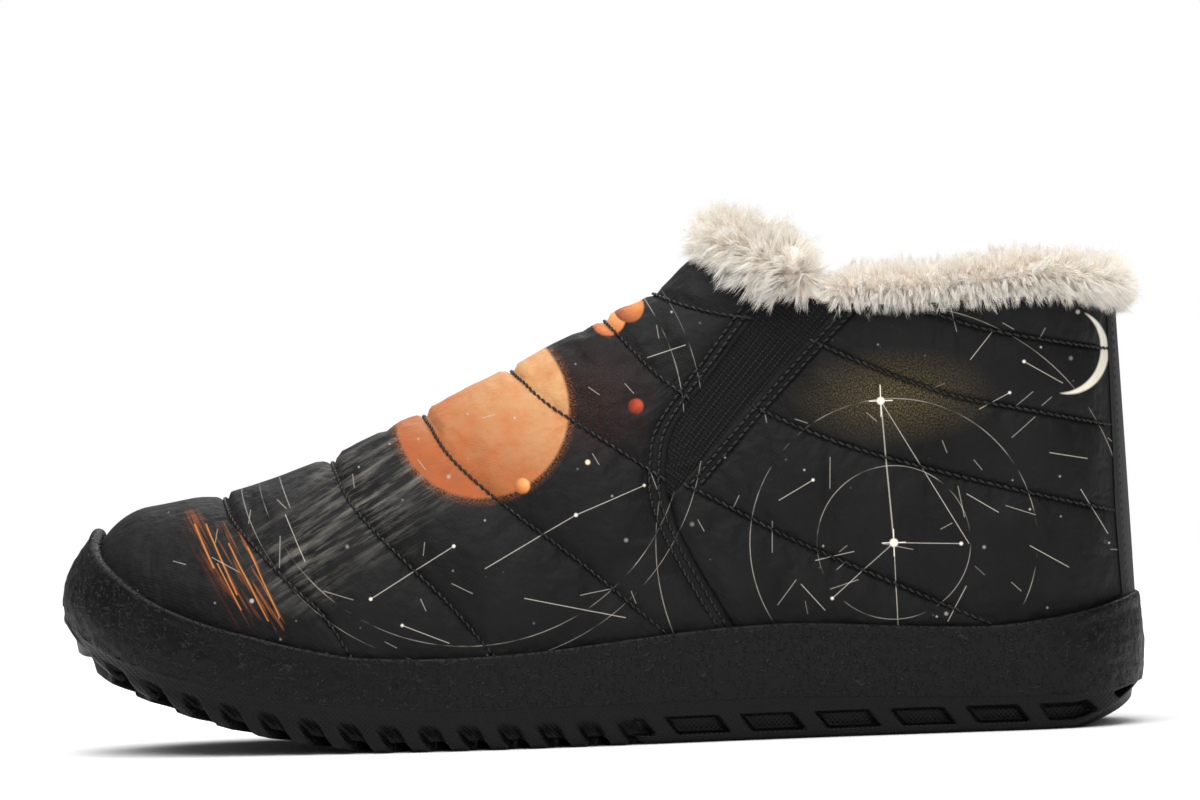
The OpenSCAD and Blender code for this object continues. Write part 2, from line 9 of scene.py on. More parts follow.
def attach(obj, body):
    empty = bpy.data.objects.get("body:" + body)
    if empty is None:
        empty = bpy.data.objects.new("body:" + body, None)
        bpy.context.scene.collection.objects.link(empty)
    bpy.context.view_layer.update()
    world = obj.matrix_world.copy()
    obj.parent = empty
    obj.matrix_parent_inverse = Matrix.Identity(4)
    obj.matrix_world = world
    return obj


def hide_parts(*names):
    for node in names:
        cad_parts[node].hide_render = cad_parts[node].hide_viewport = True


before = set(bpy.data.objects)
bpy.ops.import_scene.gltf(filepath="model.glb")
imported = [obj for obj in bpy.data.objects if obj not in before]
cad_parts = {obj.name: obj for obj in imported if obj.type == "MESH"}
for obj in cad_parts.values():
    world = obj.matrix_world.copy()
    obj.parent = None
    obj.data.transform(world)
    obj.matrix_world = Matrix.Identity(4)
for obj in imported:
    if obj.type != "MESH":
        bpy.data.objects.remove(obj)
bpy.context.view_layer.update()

print("frame loaded,", len(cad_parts), "nodes")

# Camera: a long lens, level with the shoe, rolled a little so the ground climbs to the right
view = {"target": (2.3, 0, 88.8), "distance": 3200, "width": 316.3, "elevation": 1.2, "roll": 1.88}

cameraData = bpy.data.cameras.new("studioCamera")
camera = bpy.data.objects.new("studioCamera", cameraData)
bpy.context.scene.collection.objects.link(camera)
bpy.context.scene.camera = camera
cameraData.sensor_width = 36
cameraData.lens = 36 * view["distance"] / view["width"]
cameraData.clip_end = 50
roll, tilt = math.radians(view["roll"]), math.radians(view["elevation"])
back = Vector((0, -math.cos(tilt), math.sin(tilt)))
right = Vector((math.cos(roll), 0, -math.sin(roll)))
up = back.cross(right)
place = Matrix((right, up, back)).transposed().to_4x4()
place.translation = Vector(view["target"]) / 1000 + back * view["distance"] / 1000
camera.matrix_world = place

# the shoe's measures in millimetres: toe at -x, outer side at -y

last = {
    "toe": -142.5, "heel": 142.5, "toeRound": 50, "heelRound": 36, "inset": 2.8, "toeGap": 1.2,
    "ridgeRound": 20, "throat": 29.5, "ridgeSlope": 0.85, "ridgeFlare": 0.0016,
    "backLean": 0.04, "ankleTaper": 0.03,
}
profile = {
    "halfWidth": [(-142, 44), (-100, 47.5), (-60, 52), (-38, 52.5), (0, 47.5), (30, 42.5), (60, 40), (90, 39.5),
                  (142, 38)],
    "centre": [(-142, 8), (-100, 5), (-60, 1), (-30, -1.5), (0, -3), (30, -3), (60, -1.5), (90, -0.3), (142, 0)],
    "ground": [(-142, 33), (-138, 26), (-129, 18.7), (-114, 12.3), (-105, 9), (-90, 4.8), (-72, 1.5), (-58, 0),
               (-50, 0), (118, 0), (124, 0), (131, 2.3), (137, 5.4), (142, 10)],
    "parting": [(-142, 39), (-140, 33.5), (-134, 28.5), (-124, 24), (-111, 20), (-98, 17), (-84, 14.2), (-70, 12.3),
                (-40, 10.4), (0, 10.5), (50, 10.6), (100, 9), (128, 8.8), (142, 11)],
    "widest": [(-142, 39), (-125, 31), (-100, 25), (-60, 18.5), (-20, 17.5), (30, 19.5), (80, 19), (142, 21)],
    "lip": [(-142.5, 59), (-140, 55), (-135, 50.5), (-127, 45.5), (-119, 40.8), (-105, 35), (-92, 31.2),
        (-77, 27.3),
            (-64, 25), (-40, 24.2), (-15, 25.3), (17, 28.4), (35, 29.7), (53, 30), (79, 28.4), (100, 27.7),
            (115, 28.8), (128, 30.8), (142, 34.2)],
    "lean": [(-142, 0.026), (-125, 0.018), (-100, 0.009), (142, 0.008)],
    "lastLevel": [(-142, 36.5), (-137, 34.5), (-129, 30), (-121, 26.5), (-105, 21.5), (-90, 18), (-72, 15.6),
                  (-40, 14), (0, 14.5), (40, 15.5), (80, 16.5), (142, 17)],
    "ridge": [(-140, 63.2), (-124, 63.4), (-115, 64), (-104, 65.3), (-90, 67.6), (-72, 73.8), (-56, 81.2),
              (-24, 96.2), (0, 108.2), (16, 116.4), (29.5, 126.6)],
    "archPower": [(-142, 2.4), (-90, 2.3), (-40, 1.9), (0, 1.7), (142, 1.7)],
    "collar": [(0, 136), (29.5, 126.6), (34, 124), (38, 120.8), (42, 118), (48, 115.8), (58, 114.2), (64, 113),
               (70, 112.4), (79, 112), (96, 112.3), (115, 112.8), (130, 110.8), (142, 108.5)],
}
seamLine = {
    "goreFront": [(18.1, 64.5), (18.4, 74), (20, 81), (25, 88.7), (34, 99.7), (44.5, 113.2), (46.5, 115.9)],
    "goreRear": [(18.3, 64.5), (22.2, 67.8), (40.5, 87.8), (57, 104.9), (65, 112.9)],
    "below": [(43, 13), (34.4, 29.7), (25.4, 45.8), (20.5, 56)],
    "vampCollar": [(42, 118), (38, 120.8), (34, 124), (31, 126), (29.5, 126.6)],
}
vampQuilts = [
    [(-98.1, 65.6), (-96, 61), (-90, 54), (-81, 44.3), (-72.4, 35.9), (-65, 24)],
    [(-69.5, 74.6), (-65.5, 66), (-59, 58), (-50, 48.6), (-39, 37.4), (-27.5, 23)],
    [(-44.8, 86.5), (-40, 78.2), (-33, 70.7), (-22, 61.2), (-4, 46.8), (17, 28)],
    [(-21.2, 97.5), (-14, 90.3), (-5.7, 84.4), (3.7, 78), (12, 72.3), (17.8, 68.3)],
    [(3.5, 109.9), (10.5, 102), (15, 97.2), (19.6, 93.2), (25, 89)],
    [(16.8, 116.8), (23, 114), (29, 112.2), (35.6, 110.7), (41.5, 109.8)],
]
quarterQuilts = [
    [(84, 111.4), (92, 108.2), (103, 104.6), (118, 101.4), (136, 98)],
    [(56, 103.6), (69, 97.4), (80, 92.6), (95, 87.2), (110, 83.9), (136.4, 78)],
    [(40.5, 86.8), (53.4, 80.5), (68, 74.6), (87, 68.7), (113, 61.6), (137.2, 55.4)],
    [(22, 67), (28, 64), (48.6, 52.5), (67, 43.7), (85, 35.4), (104, 26.5)],
]


def curve(points, x):
    # a smooth line through [x, value] points, held level past its ends
    p = np.array(points, float)
    x = np.asarray(x, float)
    i = np.clip(np.searchsorted(p[:, 0], x, side="right") - 1, 0, len(p) - 2)
    before, after = np.maximum(np.arange(len(p)) - 1, 0), np.minimum(np.arange(len(p)) + 1, len(p) - 1)
    slope = (p[after, 1] - p[before, 1]) / (p[after, 0] - p[before, 0])
    h = p[i + 1, 0] - p[i, 0]
    t = np.clip((x - p[i, 0]) / h, 0, 1)
    return (p[i, 1] * (2 * t**3 - 3 * t**2 + 1) + slope[i] * h * (t**3 - 2 * t**2 + t) + p[i + 1, 1]
        * (3 * t**2 - 2 * t**3) + slope[i + 1] * h * (t**3 - t**2))


def along(points, count):
    # evenly spaced points on a smooth line through a few side-view points
    p = np.array(points, float)
    share = np.linspace(0, 1, len(p))
    fine = np.linspace(0, 1, 600)
    x = curve(np.column_stack((share, p[:, 0])), fine)
    z = curve(np.column_stack((share, p[:, 1])), fine)
    run = np.concatenate(([0], np.cumsum(np.hypot(np.diff(x), np.diff(z)))))
    even = np.linspace(0, run[-1], count)
    return np.column_stack((np.interp(even, run, x), np.interp(even, run, z)))


def runOf(path):
    # distance along a path, at each of its points
    return np.concatenate(([0], np.cumsum(np.linalg.norm(np.diff(path, axis=0), axis=1))))


def smooth(low, high, x):
    t = np.clip((x - low) / (high - low), 0, 1)
    return t * t * (3 - 2 * t)


def roundEnd(gap, reach, power):
    return (1 - (1 - np.clip(gap / reach, 0, 1)) ** power) ** (1 / power)


upperToe = last["toe"] + last["inset"] + last["toeGap"]
upperHeel = last["heel"] - last["inset"]


def soleHalf(x):
    return (curve(profile["halfWidth"], x) * roundEnd(x - last["toe"], last["toeRound"], 2.2)
        * roundEnd(last["heel"] - x, last["heelRound"], 2.3))


plan = np.linspace(0, math.pi, 2000)
planX = -np.cos(plan) * last["heel"]
yMid = (np.max(curve(profile["centre"], planX) + soleHalf(planX)) + np.min(curve(profile["centre"], planX)
    - soleHalf(planX))) / 2


def centreY(x):
    return curve(profile["centre"], x) - yMid


def backX(z):
    return upperHeel - last["backLean"] * (z - 34)


def ridgeLine(x):
    over = np.maximum(np.asarray(x, float) - last["throat"], 0)
    return curve(profile["ridge"], x) + last["ridgeSlope"] * over + last["ridgeFlare"] * over**3


def archHeight(x, depth):
    rise = 1 - np.clip((x - upperToe - depth) / last["ridgeRound"], 0, 1)
    return (ridgeLine(x) - 1.1 * depth - curve(profile["lastLevel"], x)) * np.sqrt(1 - rise**2)


def upperHalf(x, depth):
    return ((curve(profile["halfWidth"], x) - last["inset"] - depth) * roundEnd(x - upperToe - depth,
        last["toeRound"], 2.2) * roundEnd(upperHeel - depth - x, last["heelRound"], 2.2))


def slim(x, z):
    return 1 - last["ankleTaper"] * np.clip((z - 30) / 95, 0, 1) * np.clip((x - 20) / 40, 0, 1)


def archShare(x, z, depth):
    return np.clip((z - curve(profile["lastLevel"], x)) / np.maximum(archHeight(x, depth), 0.01), 0, 1)


def archTurn(x, z, depth):
    return np.arccos(archShare(x, z, depth) ** (curve(profile["archPower"], x) / 2))


def archPoint(x, turn, depth):
    # a point of the arch over the foot: turn -90 is the outer sole edge, 0 the ridge, 90 the inner edge
    z = curve(profile["lastLevel"], x) + archHeight(x, depth) * np.abs(np.cos(turn)) ** (2
        / curve(profile["archPower"], x))
    return np.stack((x, centreY(x) + upperHalf(x, depth) * slim(x, z) * np.sin(turn), z), -1)


def wallPoint(x, z, side, depth):
    # a point of the wall behind a side-view point; side is -1 outside and 1 inside
    x, z = np.broadcast_arrays(np.asarray(x, float), np.asarray(z, float))
    reach = np.where(x > 40, 40 + (x - 40) * (upperHeel - 40) / (backX(z) - 40), x)
    y = centreY(x) + side * upperHalf(reach, depth) * slim(x, z) * np.sqrt(1 - archShare(reach, z,
        depth) ** curve(profile["archPower"], reach))
    return np.stack((x, y, z), -1)


def normalsOf(grid):
    across, down = np.gradient(grid, axis=0), np.gradient(grid, axis=1)
    n = np.cross(across, down)
    return n / np.maximum(np.linalg.norm(n, axis=-1, keepdims=True), 1e-9)


def ripple(s, seed):
    # an uneven wave, from -1 to 1
    return (np.sin(s * 1.0 + seed) + 0.7 * np.sin(s * 1.73 + seed * 2.1) + 0.5 * np.sin(s * 2.71
        + seed * 3.7)) / 2.2


def nearest(points, targets):
    # distance from each point to a cloud of targets, and which target it is
    tree = KDTree(len(targets))
    for i, t in enumerate(targets):
        tree.insert(t, i)
    tree.balance()
    found = [tree.find(p) for p in points.reshape(-1, 3)]
    shape = points.shape[:-1]
    return (np.array([f[2] for f in found]).reshape(shape), np.array([f[1] for f in found]).reshape(shape))


def gridFaces(cols, rows, start=0, wrap=False, flip=False):
    i = np.arange(cols if wrap else cols - 1)[:, None]
    j = np.arange(rows - 1)[None, :]
    a = start + i * rows + j
    b = start + (i + 1) % cols * rows + j
    quads = np.stack((a, b, b + 1, a + 1), -1).reshape(-1, 4)
    return (quads[:, ::-1] if flip else quads).tolist()


def makePiece(name, points, faces, material, body="boot", replaces=()):
    mesh = bpy.data.meshes.new(name)
    mesh.from_pydata((np.asarray(points).reshape(-1, 3) / 1000).tolist(), [], faces)
    mesh.update()
    mesh.shade_smooth()
    mesh.materials.append(material)
    piece = bpy.data.objects.new(name, mesh)
    bpy.context.scene.collection.objects.link(piece)
    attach(piece, body)
    if replaces:
        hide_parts(*replaces)
    return piece


def thickPanel(outer, inner, flip=False):
    # a closed panel between two grids of the same size
    cols, rows = outer.shape[:2]
    n = cols * rows
    faces = gridFaces(cols, rows, 0, flip=flip) + gridFaces(cols, rows, n, flip=not flip)
    rim = np.concatenate((np.arange(cols) * rows, (cols - 1) * rows + np.arange(1, rows), np.arange(cols - 2, -1,
        -1) * rows + rows - 1, np.arange(rows - 2, 0, -1)))
    following = np.roll(rim, -1)
    sides = np.stack((rim, rim + n, following + n, following), -1)
    faces += (sides[:, ::-1] if flip else sides).tolist()
    return np.concatenate((outer.reshape(-1, 3), inner.reshape(-1, 3))), faces


# materials

def colour(code):
    # an sRGB hex value as linear red, green, blue and alpha
    parts = [int(code[i:i + 2], 16) / 255 for i in (1, 3, 5)]
    return [c / 12.92 if c <= 0.04045 else ((c + 0.055) / 1.055) ** 2.4 for c in parts] + [1]


def setInputs(node, values):
    # values: input name or number -> a value, or the output socket to link
    for key, value in values.items():
        if isinstance(value, bpy.types.NodeSocket):
            node.id_data.links.new(value, node.inputs[key])
        else:
            node.inputs[key].default_value = value


def addNode(tree, kind, values=None, give=0, **settings):
    # give: which output comes back, or None for the node
    node = tree.nodes.new("ShaderNode" + kind)
    for key, value in settings.items():
        setattr(node, key, value)
    setInputs(node, values or {})
    return node if give is None else node.outputs[give]


def newMaterial(name, **shader):
    material = bpy.data.materials.new(name)
    material.use_nodes = True
    tree = material.node_tree
    tree.nodes.clear()
    add = partial(addNode, tree)
    skin = add("BsdfPrincipled", shader, give=None)
    add("OutputMaterial", {"Surface": skin.outputs[0]}, give=None)
    mm = add("VectorMath", {0: add("TexCoord", give="Object"), "Scale": 1000}, operation="SCALE")
    return material, add, skin, mm


# Polyester taffeta, printed by dye transfer: a soft sheen, fine ribs across, and ink that sits in the threads
cloth = {"ground": "#131313", "groundLight": "#1a1a1b", "ribPitch": 0.6, "star": "#b9b6af", "line": 0.17}
# the print, drawn in side view in mm: discs and rings are (x, z, radius), lines are (x, z, x, z)
artwork = {"sun": (-30, 88, 23), "halo": (-30, 88, 24.2), "embers": (0, 90, 8), "mist": [(-62, 66, 9, 12),
    (-78, 52, 7, 10), (-46, 76, 8, 10)], "planets": [(-19.7, 67.9, 2.0, "#f0a868", "#a4562a"),
    (10.5, 87.5, 2.0, "#b4462b", "#5b2015"), (4, 110.5, 4.6, "#eba56a", "#b05a2c"), (9.5, 113.2, 4.0, "#d98747",
    "#7d3a20"), (-2.5, 73.5, 0.6, "#e9d6b8", "#e9d6b8")], "brush": [(-107, 61, -93, 36, 3.6),
    (-99, 58, -88, 38, 3.0), (-94, 57, -84, 34, 2.2)], "bristles": [(-106, 60, -101, 49, 0.35),
    (-103, 60, -95, 42, 0.3), (-97, 55, -87, 35, 0.28), (-92, 54, -84, 36, 0.25), (-100, 50, -94, 38, 0.25)],
    "rings": [(-34, 84, 57, 1), (-34, 84, 62, 0.8), (76.5, 50, 20, 1), (76.5, 50, 37.5, 1), (76.5, 50, 62, 1)],
    "axis": (76.5, 50, 74.3, 87), "lines": [(76.5, 50, 94, 49.2), (74.3, 87, 96, 49.2), (76.5, 50, 77, 26),
    (76.5, 50, 60, 36), (56, 46, 66, 48), (-60, 40, -38, 53), (-30, 47, -6, 60), (-6, 60, 12, 67),
    (-82, 62, -77, 50), (-20, 39, 6, 33), (-52, 33, -40, 28), (100, 84, 108, 88), (112, 96, 122, 90),
    (96, 62, 104, 57), (104, 104, 98, 97), (118, 72, 128, 70), (112, 48, 122, 42), (47, 62, 56, 67),
    (52, 40, 58, 33), (95, 38, 90, 29), (126, 62, 133, 50), (14, 100, 24, 103)], "beads": [(74.3, 87, 1.0),
    (76.5, 50, 1.1), (94, 49.2, 0.45), (-38, 53, 0.4), (-6, 60, 0.45), (12, 67, 0.35), (60, 36, 0.4),
    (108, 88, 0.35), (112, 96, 0.4), (-60, 40, 0.4), (56, 67, 0.35), (-52, 33, 0.35)],
    "sparkle": [(74.3, 83, 74.3, 91), (71.3, 87, 77.3, 87), (76.5, 46.5, 76.5, 53.5), (73.5, 50, 79.5, 50)],
    "crescent": (124, 98, 11), "crescentBite": (121.2, 99, 11.6),}


def printedCloth():
    material, add, skin, mm = newMaterial("printedPolyesterTaffeta", Roughness=0.62, **{"Sheen Weight": 0.02,
        "Sheen Roughness": 0.4, "Specular IOR Level": 0.12})
    xyz = add("SeparateXYZ", {0: mm}, give=None).outputs
    flat = add("CombineXYZ", {0: xyz[0], 1: xyz[2], 2: 0.0})

    def disc(x, z, radius, soft=0.4):
        away = add("VectorMath", {0: flat, 1: (x, z, 0)}, operation="DISTANCE", give="Value")
        return add("MapRange", {0: away, 1: radius + soft, 2: radius - soft})

    def ring(x, z, radius, width):
        away = add("VectorMath", {0: flat, 1: (x, z, 0)}, operation="DISTANCE", give="Value")
        off = add("Math", {0: add("Math", {0: away, 1: radius}, operation="SUBTRACT")}, operation="ABSOLUTE")
        return add("MapRange", {0: off, 1: width, 2: width * 0.3})

    def stroke(x1, z1, x2, z2, width):
        reach = (x2 - x1, z2 - z1, 0)
        size = reach[0] ** 2 + reach[1] ** 2
        rel = add("VectorMath", {0: flat, 1: (x1, z1, 0)}, operation="SUBTRACT")
        dot = add("VectorMath", {0: rel, 1: reach}, operation="DOT_PRODUCT", give="Value")
        share = add("Math", {0: dot, 1: 1 / size}, operation="MULTIPLY", use_clamp=True)
        spot = add("VectorMath", {0: reach, "Scale": share}, operation="SCALE")
        off = add("VectorMath", {0: rel, 1: spot}, operation="DISTANCE", give="Value")
        return add("MapRange", {0: off, 1: width, 2: width * 0.3})

    def most(masks):
        total = masks[0]
        for m in masks[1:]:
            total = add("Math", {0: total, 1: m}, operation="MAXIMUM")
        return total

    def printed(under, mask, ink, share=1):
        # one more layer of ink over what is already there
        if share < 1:
            mask = add("Math", {0: mask, 1: share}, operation="MULTIPLY")
        return add("Mix", {0: mask, 6: under, 7: ink}, give=2, data_type="RGBA")

    blotch = add("TexNoise", {"Vector": mm, "Scale": 0.05, "Detail": 3.0})
    paint = add("Mix", {0: add("MapRange", {0: blotch, 1: 0.35, 2: 0.7}), 6: colour(cloth["ground"]),
        7: colour(cloth["groundLight"])}, give=2, data_type="RGBA")

    # a warm gold haze with dust in it, on the rear half
    grain = add("TexNoise", {"Vector": flat, "Scale": 2.2, "Detail": 4.0, "Roughness": 0.8})
    squash = add("VectorMath", {0: flat, 1: (1, 2.1, 1)}, operation="MULTIPLY")
    haze = add("MapRange", {0: add("VectorMath", {0: squash, 1: (78, 185, 0)}, operation="DISTANCE", give="Value"),
        1: 28, 2: 4})
    haze = add("Math", {0: haze, 1: add("MapRange", {0: grain, 1: 0.46, 2: 0.66})}, operation="MULTIPLY")
    paint = printed(paint, haze, colour("#8a7848"), 0.75)
    embers = add("Math", {0: disc(*artwork["embers"], 11), 1: add("MapRange", {0: grain, 1: 0.5, 2: 0.72})},
        operation="MULTIPLY")
    paint = printed(paint, embers, colour("#8a3a1c"), 0.6)

    # pale mist along the ridge
    turned = add("VectorRotate", {"Vector": flat, "Angle": math.radians(-30)}, rotation_type="Z_AXIS")
    streak = add("VectorMath", {0: turned, 1: (0.05, 0.5, 1)}, operation="MULTIPLY")
    mist = add("TexNoise", {"Vector": streak, "Scale": 1.0, "Detail": 5.0, "Roughness": 0.7})
    band = most([disc(*spot) for spot in artwork["mist"]])
    mist = add("Math", {0: band, 1: add("MapRange", {0: mist, 1: 0.47, 2: 0.7})}, operation="MULTIPLY")
    paint = printed(paint, mist, colour("#a9a49a"), 0.6)

    # a low sun: cream at the top right, orange below
    sun = disc(*artwork["sun"])
    warm = add("VectorMath", {0: flat, 1: (0.55, 0.83, 0)}, operation="DOT_PRODUCT", give="Value")
    glow = add("Mix", {0: add("MapRange", {0: warm, 1: 38, 2: 72}), 6: colour("#9a5630"), 7: colour("#c99a6a")},
        give=2, data_type="RGBA")
    wash = add("TexNoise", {"Vector": flat, "Scale": 0.16, "Detail": 5.0, "Roughness": 0.65})
    glow = add("Mix", {0: add("MapRange", {0: wash, 1: 0.42, 2: 0.7, 3: 0, 4: 0.5}), 6: glow, 7: colour("#b9582a")},
        give=2, data_type="RGBA")
    halo = add("Math", {0: disc(*artwork["halo"], 1.2), 1: add("MapRange", {0: grain, 1: 0.47, 2: 0.62})},
        operation="MULTIPLY")
    paint = printed(paint, halo, colour("#c9763a"), 0.6)
    paint = printed(paint, sun, glow)

    # small planets, each lit from one side
    for x, z, r, lit, dark in artwork["planets"]:
        shade = add("MapRange", {0: add("VectorMath", {0: flat, 1: (x + r * 0.5, z + r * 0.5, 0)},
            operation="DISTANCE", give="Value"), 1: r * 0.3, 2: r * 1.6})
        paint = printed(paint, disc(x, z, r, 0.25), add("Mix", {0: shade, 6: colour(lit), 7: colour(dark)}, give=2,
            data_type="RGBA"))

    # warm brush strokes over the toe
    turned = add("VectorRotate", {"Vector": flat, "Angle": math.radians(61)}, rotation_type="Z_AXIS")
    bristle = add("VectorMath", {0: turned, 1: (0.06, 1.1, 1)}, operation="MULTIPLY")
    bristle = add("TexNoise", {"Vector": bristle, "Scale": 1.0, "Detail": 3.0})
    sweep = add("VectorMath", {0: flat, 1: (0.86, 0.5, 0)}, operation="DOT_PRODUCT", give="Value")
    drag = most([stroke(*ends) for ends in artwork["brush"]])
    warmStroke = add("Math", {0: drag, 1: add("MapRange", {0: bristle, 1: 0.5, 2: 0.6})}, operation="MULTIPLY")
    paint = printed(paint, warmStroke, add("Mix", {0: add("MapRange", {0: sweep, 1: -66, 2: -56}),
        6: colour("#4d180b"), 7: colour("#8f5226")}, give=2, data_type="RGBA"), 0.85)
    fine = most([stroke(*ends) for ends in artwork["bristles"]])
    paint = printed(paint, fine, colour("#d0843f"), 0.7)

    # thin drawn circles, lines and dashes
    thin = cloth["line"]
    circles = most([ring(x, z, r, thin * w) for x, z, r, w in artwork["rings"]])
    wear = add("MapRange", {0: add("TexNoise", {"Vector": flat, "Scale": 0.09, "Detail": 2.0}), 1: 0.4, 2: 0.56})
    circles = add("Math", {0: circles, 1: wear}, operation="MULTIPLY")

    def scattered(size, reach, keep):
        # one short dash in each cell of a loose mosaic, each turned its own way, most left out
        cell = add("TexVoronoi", {"Vector": flat, "Scale": size}, give=None, voronoi_dimensions="2D")
        pick = add("SeparateColor", {0: cell.outputs["Color"]}, give=None).outputs
        away = add("VectorMath", {0: flat, 1: cell.outputs["Position"]}, operation="SUBTRACT")
        angle = add("Math", {0: pick[1], 1: 6.28}, operation="MULTIPLY")
        turned = add("VectorRotate", {"Vector": away, "Angle": angle}, rotation_type="Z_AXIS")
        off = add("SeparateXYZ", {0: turned}, give=None).outputs
        dash = add("Math", {0: add("MapRange", {0: add("Math", {0: off[0]}, operation="ABSOLUTE"), 1: reach,
            2: reach * 0.96}), 1: add("MapRange", {0: add("Math", {0: off[1]}, operation="ABSOLUTE"), 1: thin,
            2: thin * 0.3})}, operation="MULTIPLY")
        return add("Math", {0: dash, 1: add("MapRange", {0: pick[0], 1: 1 - keep, 2: 1.02 - keep})},
            operation="MULTIPLY")

    dashes = add("Math", {0: scattered(0.062, 4.2, 0.3), 1: scattered(0.11, 1.8, 0.16)}, operation="MAXIMUM")
    paint = printed(paint, dashes, colour("#b9b2a6"), 0.5)
    lines = most([stroke(*artwork["axis"], 0.26)] + [stroke(*ends, thin) for ends in artwork["lines"]])
    beads = most([disc(*spot, 0.2) for spot in artwork["beads"]])
    sparkle = most([stroke(*ends, 0.2) for ends in artwork["sparkle"]])
    paint = printed(paint, circles, colour("#b9b2a6"), 0.55)
    paint = printed(paint, lines, colour("#c9c3b6"), 0.62)
    paint = printed(paint, add("Math", {0: beads, 1: sparkle}, operation="MAXIMUM"), colour("#efe9da"))

    # a plain crescent near the heel
    crescent = add("Math", {0: disc(*artwork["crescent"], 0.25), 1: disc(*artwork["crescentBite"], 0.25)},
        operation="SUBTRACT", use_clamp=True)
    paint = printed(paint, crescent, colour("#e8e2d2"))

    # scattered stars: one in each small cell, most of them left out
    for size, limit, keep in [(0.24, 0.1, 0.35), (0.11, 0.085, 0.5)]:
        cell = add("TexVoronoi", {"Vector": flat, "Scale": size, "Randomness": 1.0}, give=None)
        dot = add("MapRange", {0: cell.outputs["Distance"], 1: limit, 2: limit * 0.45})
        pick = add("SeparateColor", {0: cell.outputs["Color"]})
        dot = add("Math", {0: dot, 1: add("MapRange", {0: pick, 1: 1 - keep, 2: 1.0})}, operation="MULTIPLY")
        paint = printed(paint, dot, colour(cloth["star"]), 0.9)

    # ribs across the cloth; real taffeta has them at 0.25 mm, drawn wider so they show
    rib = add("TexWave", {"Vector": mm, "Scale": 0.314 / cloth["ribPitch"], "Distortion": 0.6, "Detail": 1.0},
        bands_direction="DIAGONAL", give="Fac")
    thread = add("TexNoise", {"Vector": mm, "Scale": 1.6, "Detail": 3.0})
    crease = add("TexNoise", {"Vector": mm, "Scale": 0.22, "Detail": 2.0})
    soft = add("Bump", {"Height": crease, "Distance": 0.0016, "Strength": 0.6})
    soft = add("Bump", {"Height": rib, "Distance": 0.00005, "Strength": 0.5, "Normal": soft})
    relief = add("Bump", {"Height": thread, "Distance": 0.00012, "Strength": 0.5, "Normal": soft})
    setInputs(skin, {"Base Color": paint, "Normal": relief})
    return material


# Compression-moulded rubber with a leather-like grain: short raised squiggles, with a painted highlight for the dull
# light they catch
def mouldedRubber(name, base, worn, grain, mesh):
    material, add, skin, mm = newMaterial(name, Roughness=0.5, **{"Specular IOR Level": 0.16, "IOR": 1.52})
    cloud = add("TexNoise", {"Vector": mm, "Scale": 0.08, "Detail": 3.0})
    # cracks between cells 1.9 mm wide, broken up into short pieces
    bend = add("TexNoise", {"Vector": mm, "Scale": 0.6, "Detail": 1.0}, give="Color")
    bend = add("VectorMath", {0: bend, "Scale": 2.2}, operation="SCALE")
    bent = add("VectorMath", {0: mm, 1: bend}, operation="ADD")
    crack = add("TexVoronoi", {"Vector": bent, "Scale": 0.52}, feature="DISTANCE_TO_EDGE")
    line = add("MapRange", {0: crack, 1: 0.1, 2: 0.015})
    gate = add("TexNoise", {"Vector": mm, "Scale": 0.5, "Detail": 1.0})
    line = add("Math", {0: line, 1: add("MapRange", {0: gate, 1: 0.44, 2: 0.54})}, operation="MULTIPLY")
    pits = add("TexNoise", {"Vector": mm, "Scale": 1.5, "Detail": 4.0})
    tone = add("Mix", {0: add("MapRange", {0: cloud, 1: 0.3, 2: 0.75}), 6: colour(base), 7: colour(worn)}, give=2,
        data_type="RGBA")
    # painted highlight: the raised grain lines get a lighter colour, as if catching the light
    tone = add("Mix", {0: add("Math", {0: line, 1: 0.8 * grain}, operation="MULTIPLY"), 6: tone,
        7: colour("#232324")}, give=2, data_type="RGBA")
    rough = add("MapRange", {0: cloud, 1: 0.3, 2: 0.7, 3: 0.42, 4: 0.55})
    soft = add("Bump", {"Height": pits, "Distance": 0.00012, "Strength": 0.35})
    if grain:
        soft = add("Bump", {"Height": line, "Distance": 0.0006 * grain, "Strength": 0.9, "Normal": soft})
    if mesh:
        # moulded diamond mesh; real lines are 0.6 mm apart, drawn a little wider
        turned = add("Mapping", {0: mm, 2: (0, math.radians(45), 0)})
        one = add("TexWave", {"Vector": turned, "Scale": 0.314 / 0.9}, bands_direction="X", give="Fac")
        two = add("TexWave", {"Vector": turned, "Scale": 0.314 / 0.9}, bands_direction="Z", give="Fac")
        weave = add("Math", {0: one, 1: two}, operation="MULTIPLY")
        soft = add("Bump", {"Height": weave, "Distance": 0.0002, "Strength": 0.6, "Normal": soft})
    setInputs(skin, {"Base Color": tone, "Roughness": rough, "Normal": soft})
    return material


# Narrow knitted elastic: dense black ribs with small loops, matt
def knittedElastic():
    material, add, skin, mm = newMaterial("knittedElastic", Roughness=0.85, **{"Sheen Weight": 0.05,
        "Sheen Roughness": 0.5, "Specular IOR Level": 0.2})
    turned = add("Mapping", {0: mm, 2: (0, math.radians(50), 0)})
    wale = add("TexWave", {"Vector": turned, "Scale": 0.314 / 1.05}, bands_direction="X", give="Fac")
    course = add("TexWave", {"Vector": turned, "Scale": 0.314 / 0.8}, bands_direction="Z", give="Fac")
    loop = add("Math", {0: wale, 1: course}, operation="MULTIPLY")
    tone = add("Mix", {0: loop, 6: colour("#060607"), 7: colour("#1c1c1e")}, give=2, data_type="RGBA")
    setInputs(skin, {"Base Color": tone, "Normal": add("Bump", {"Height": loop, "Distance": 0.0005,
        "Strength": 0.9})})
    return material


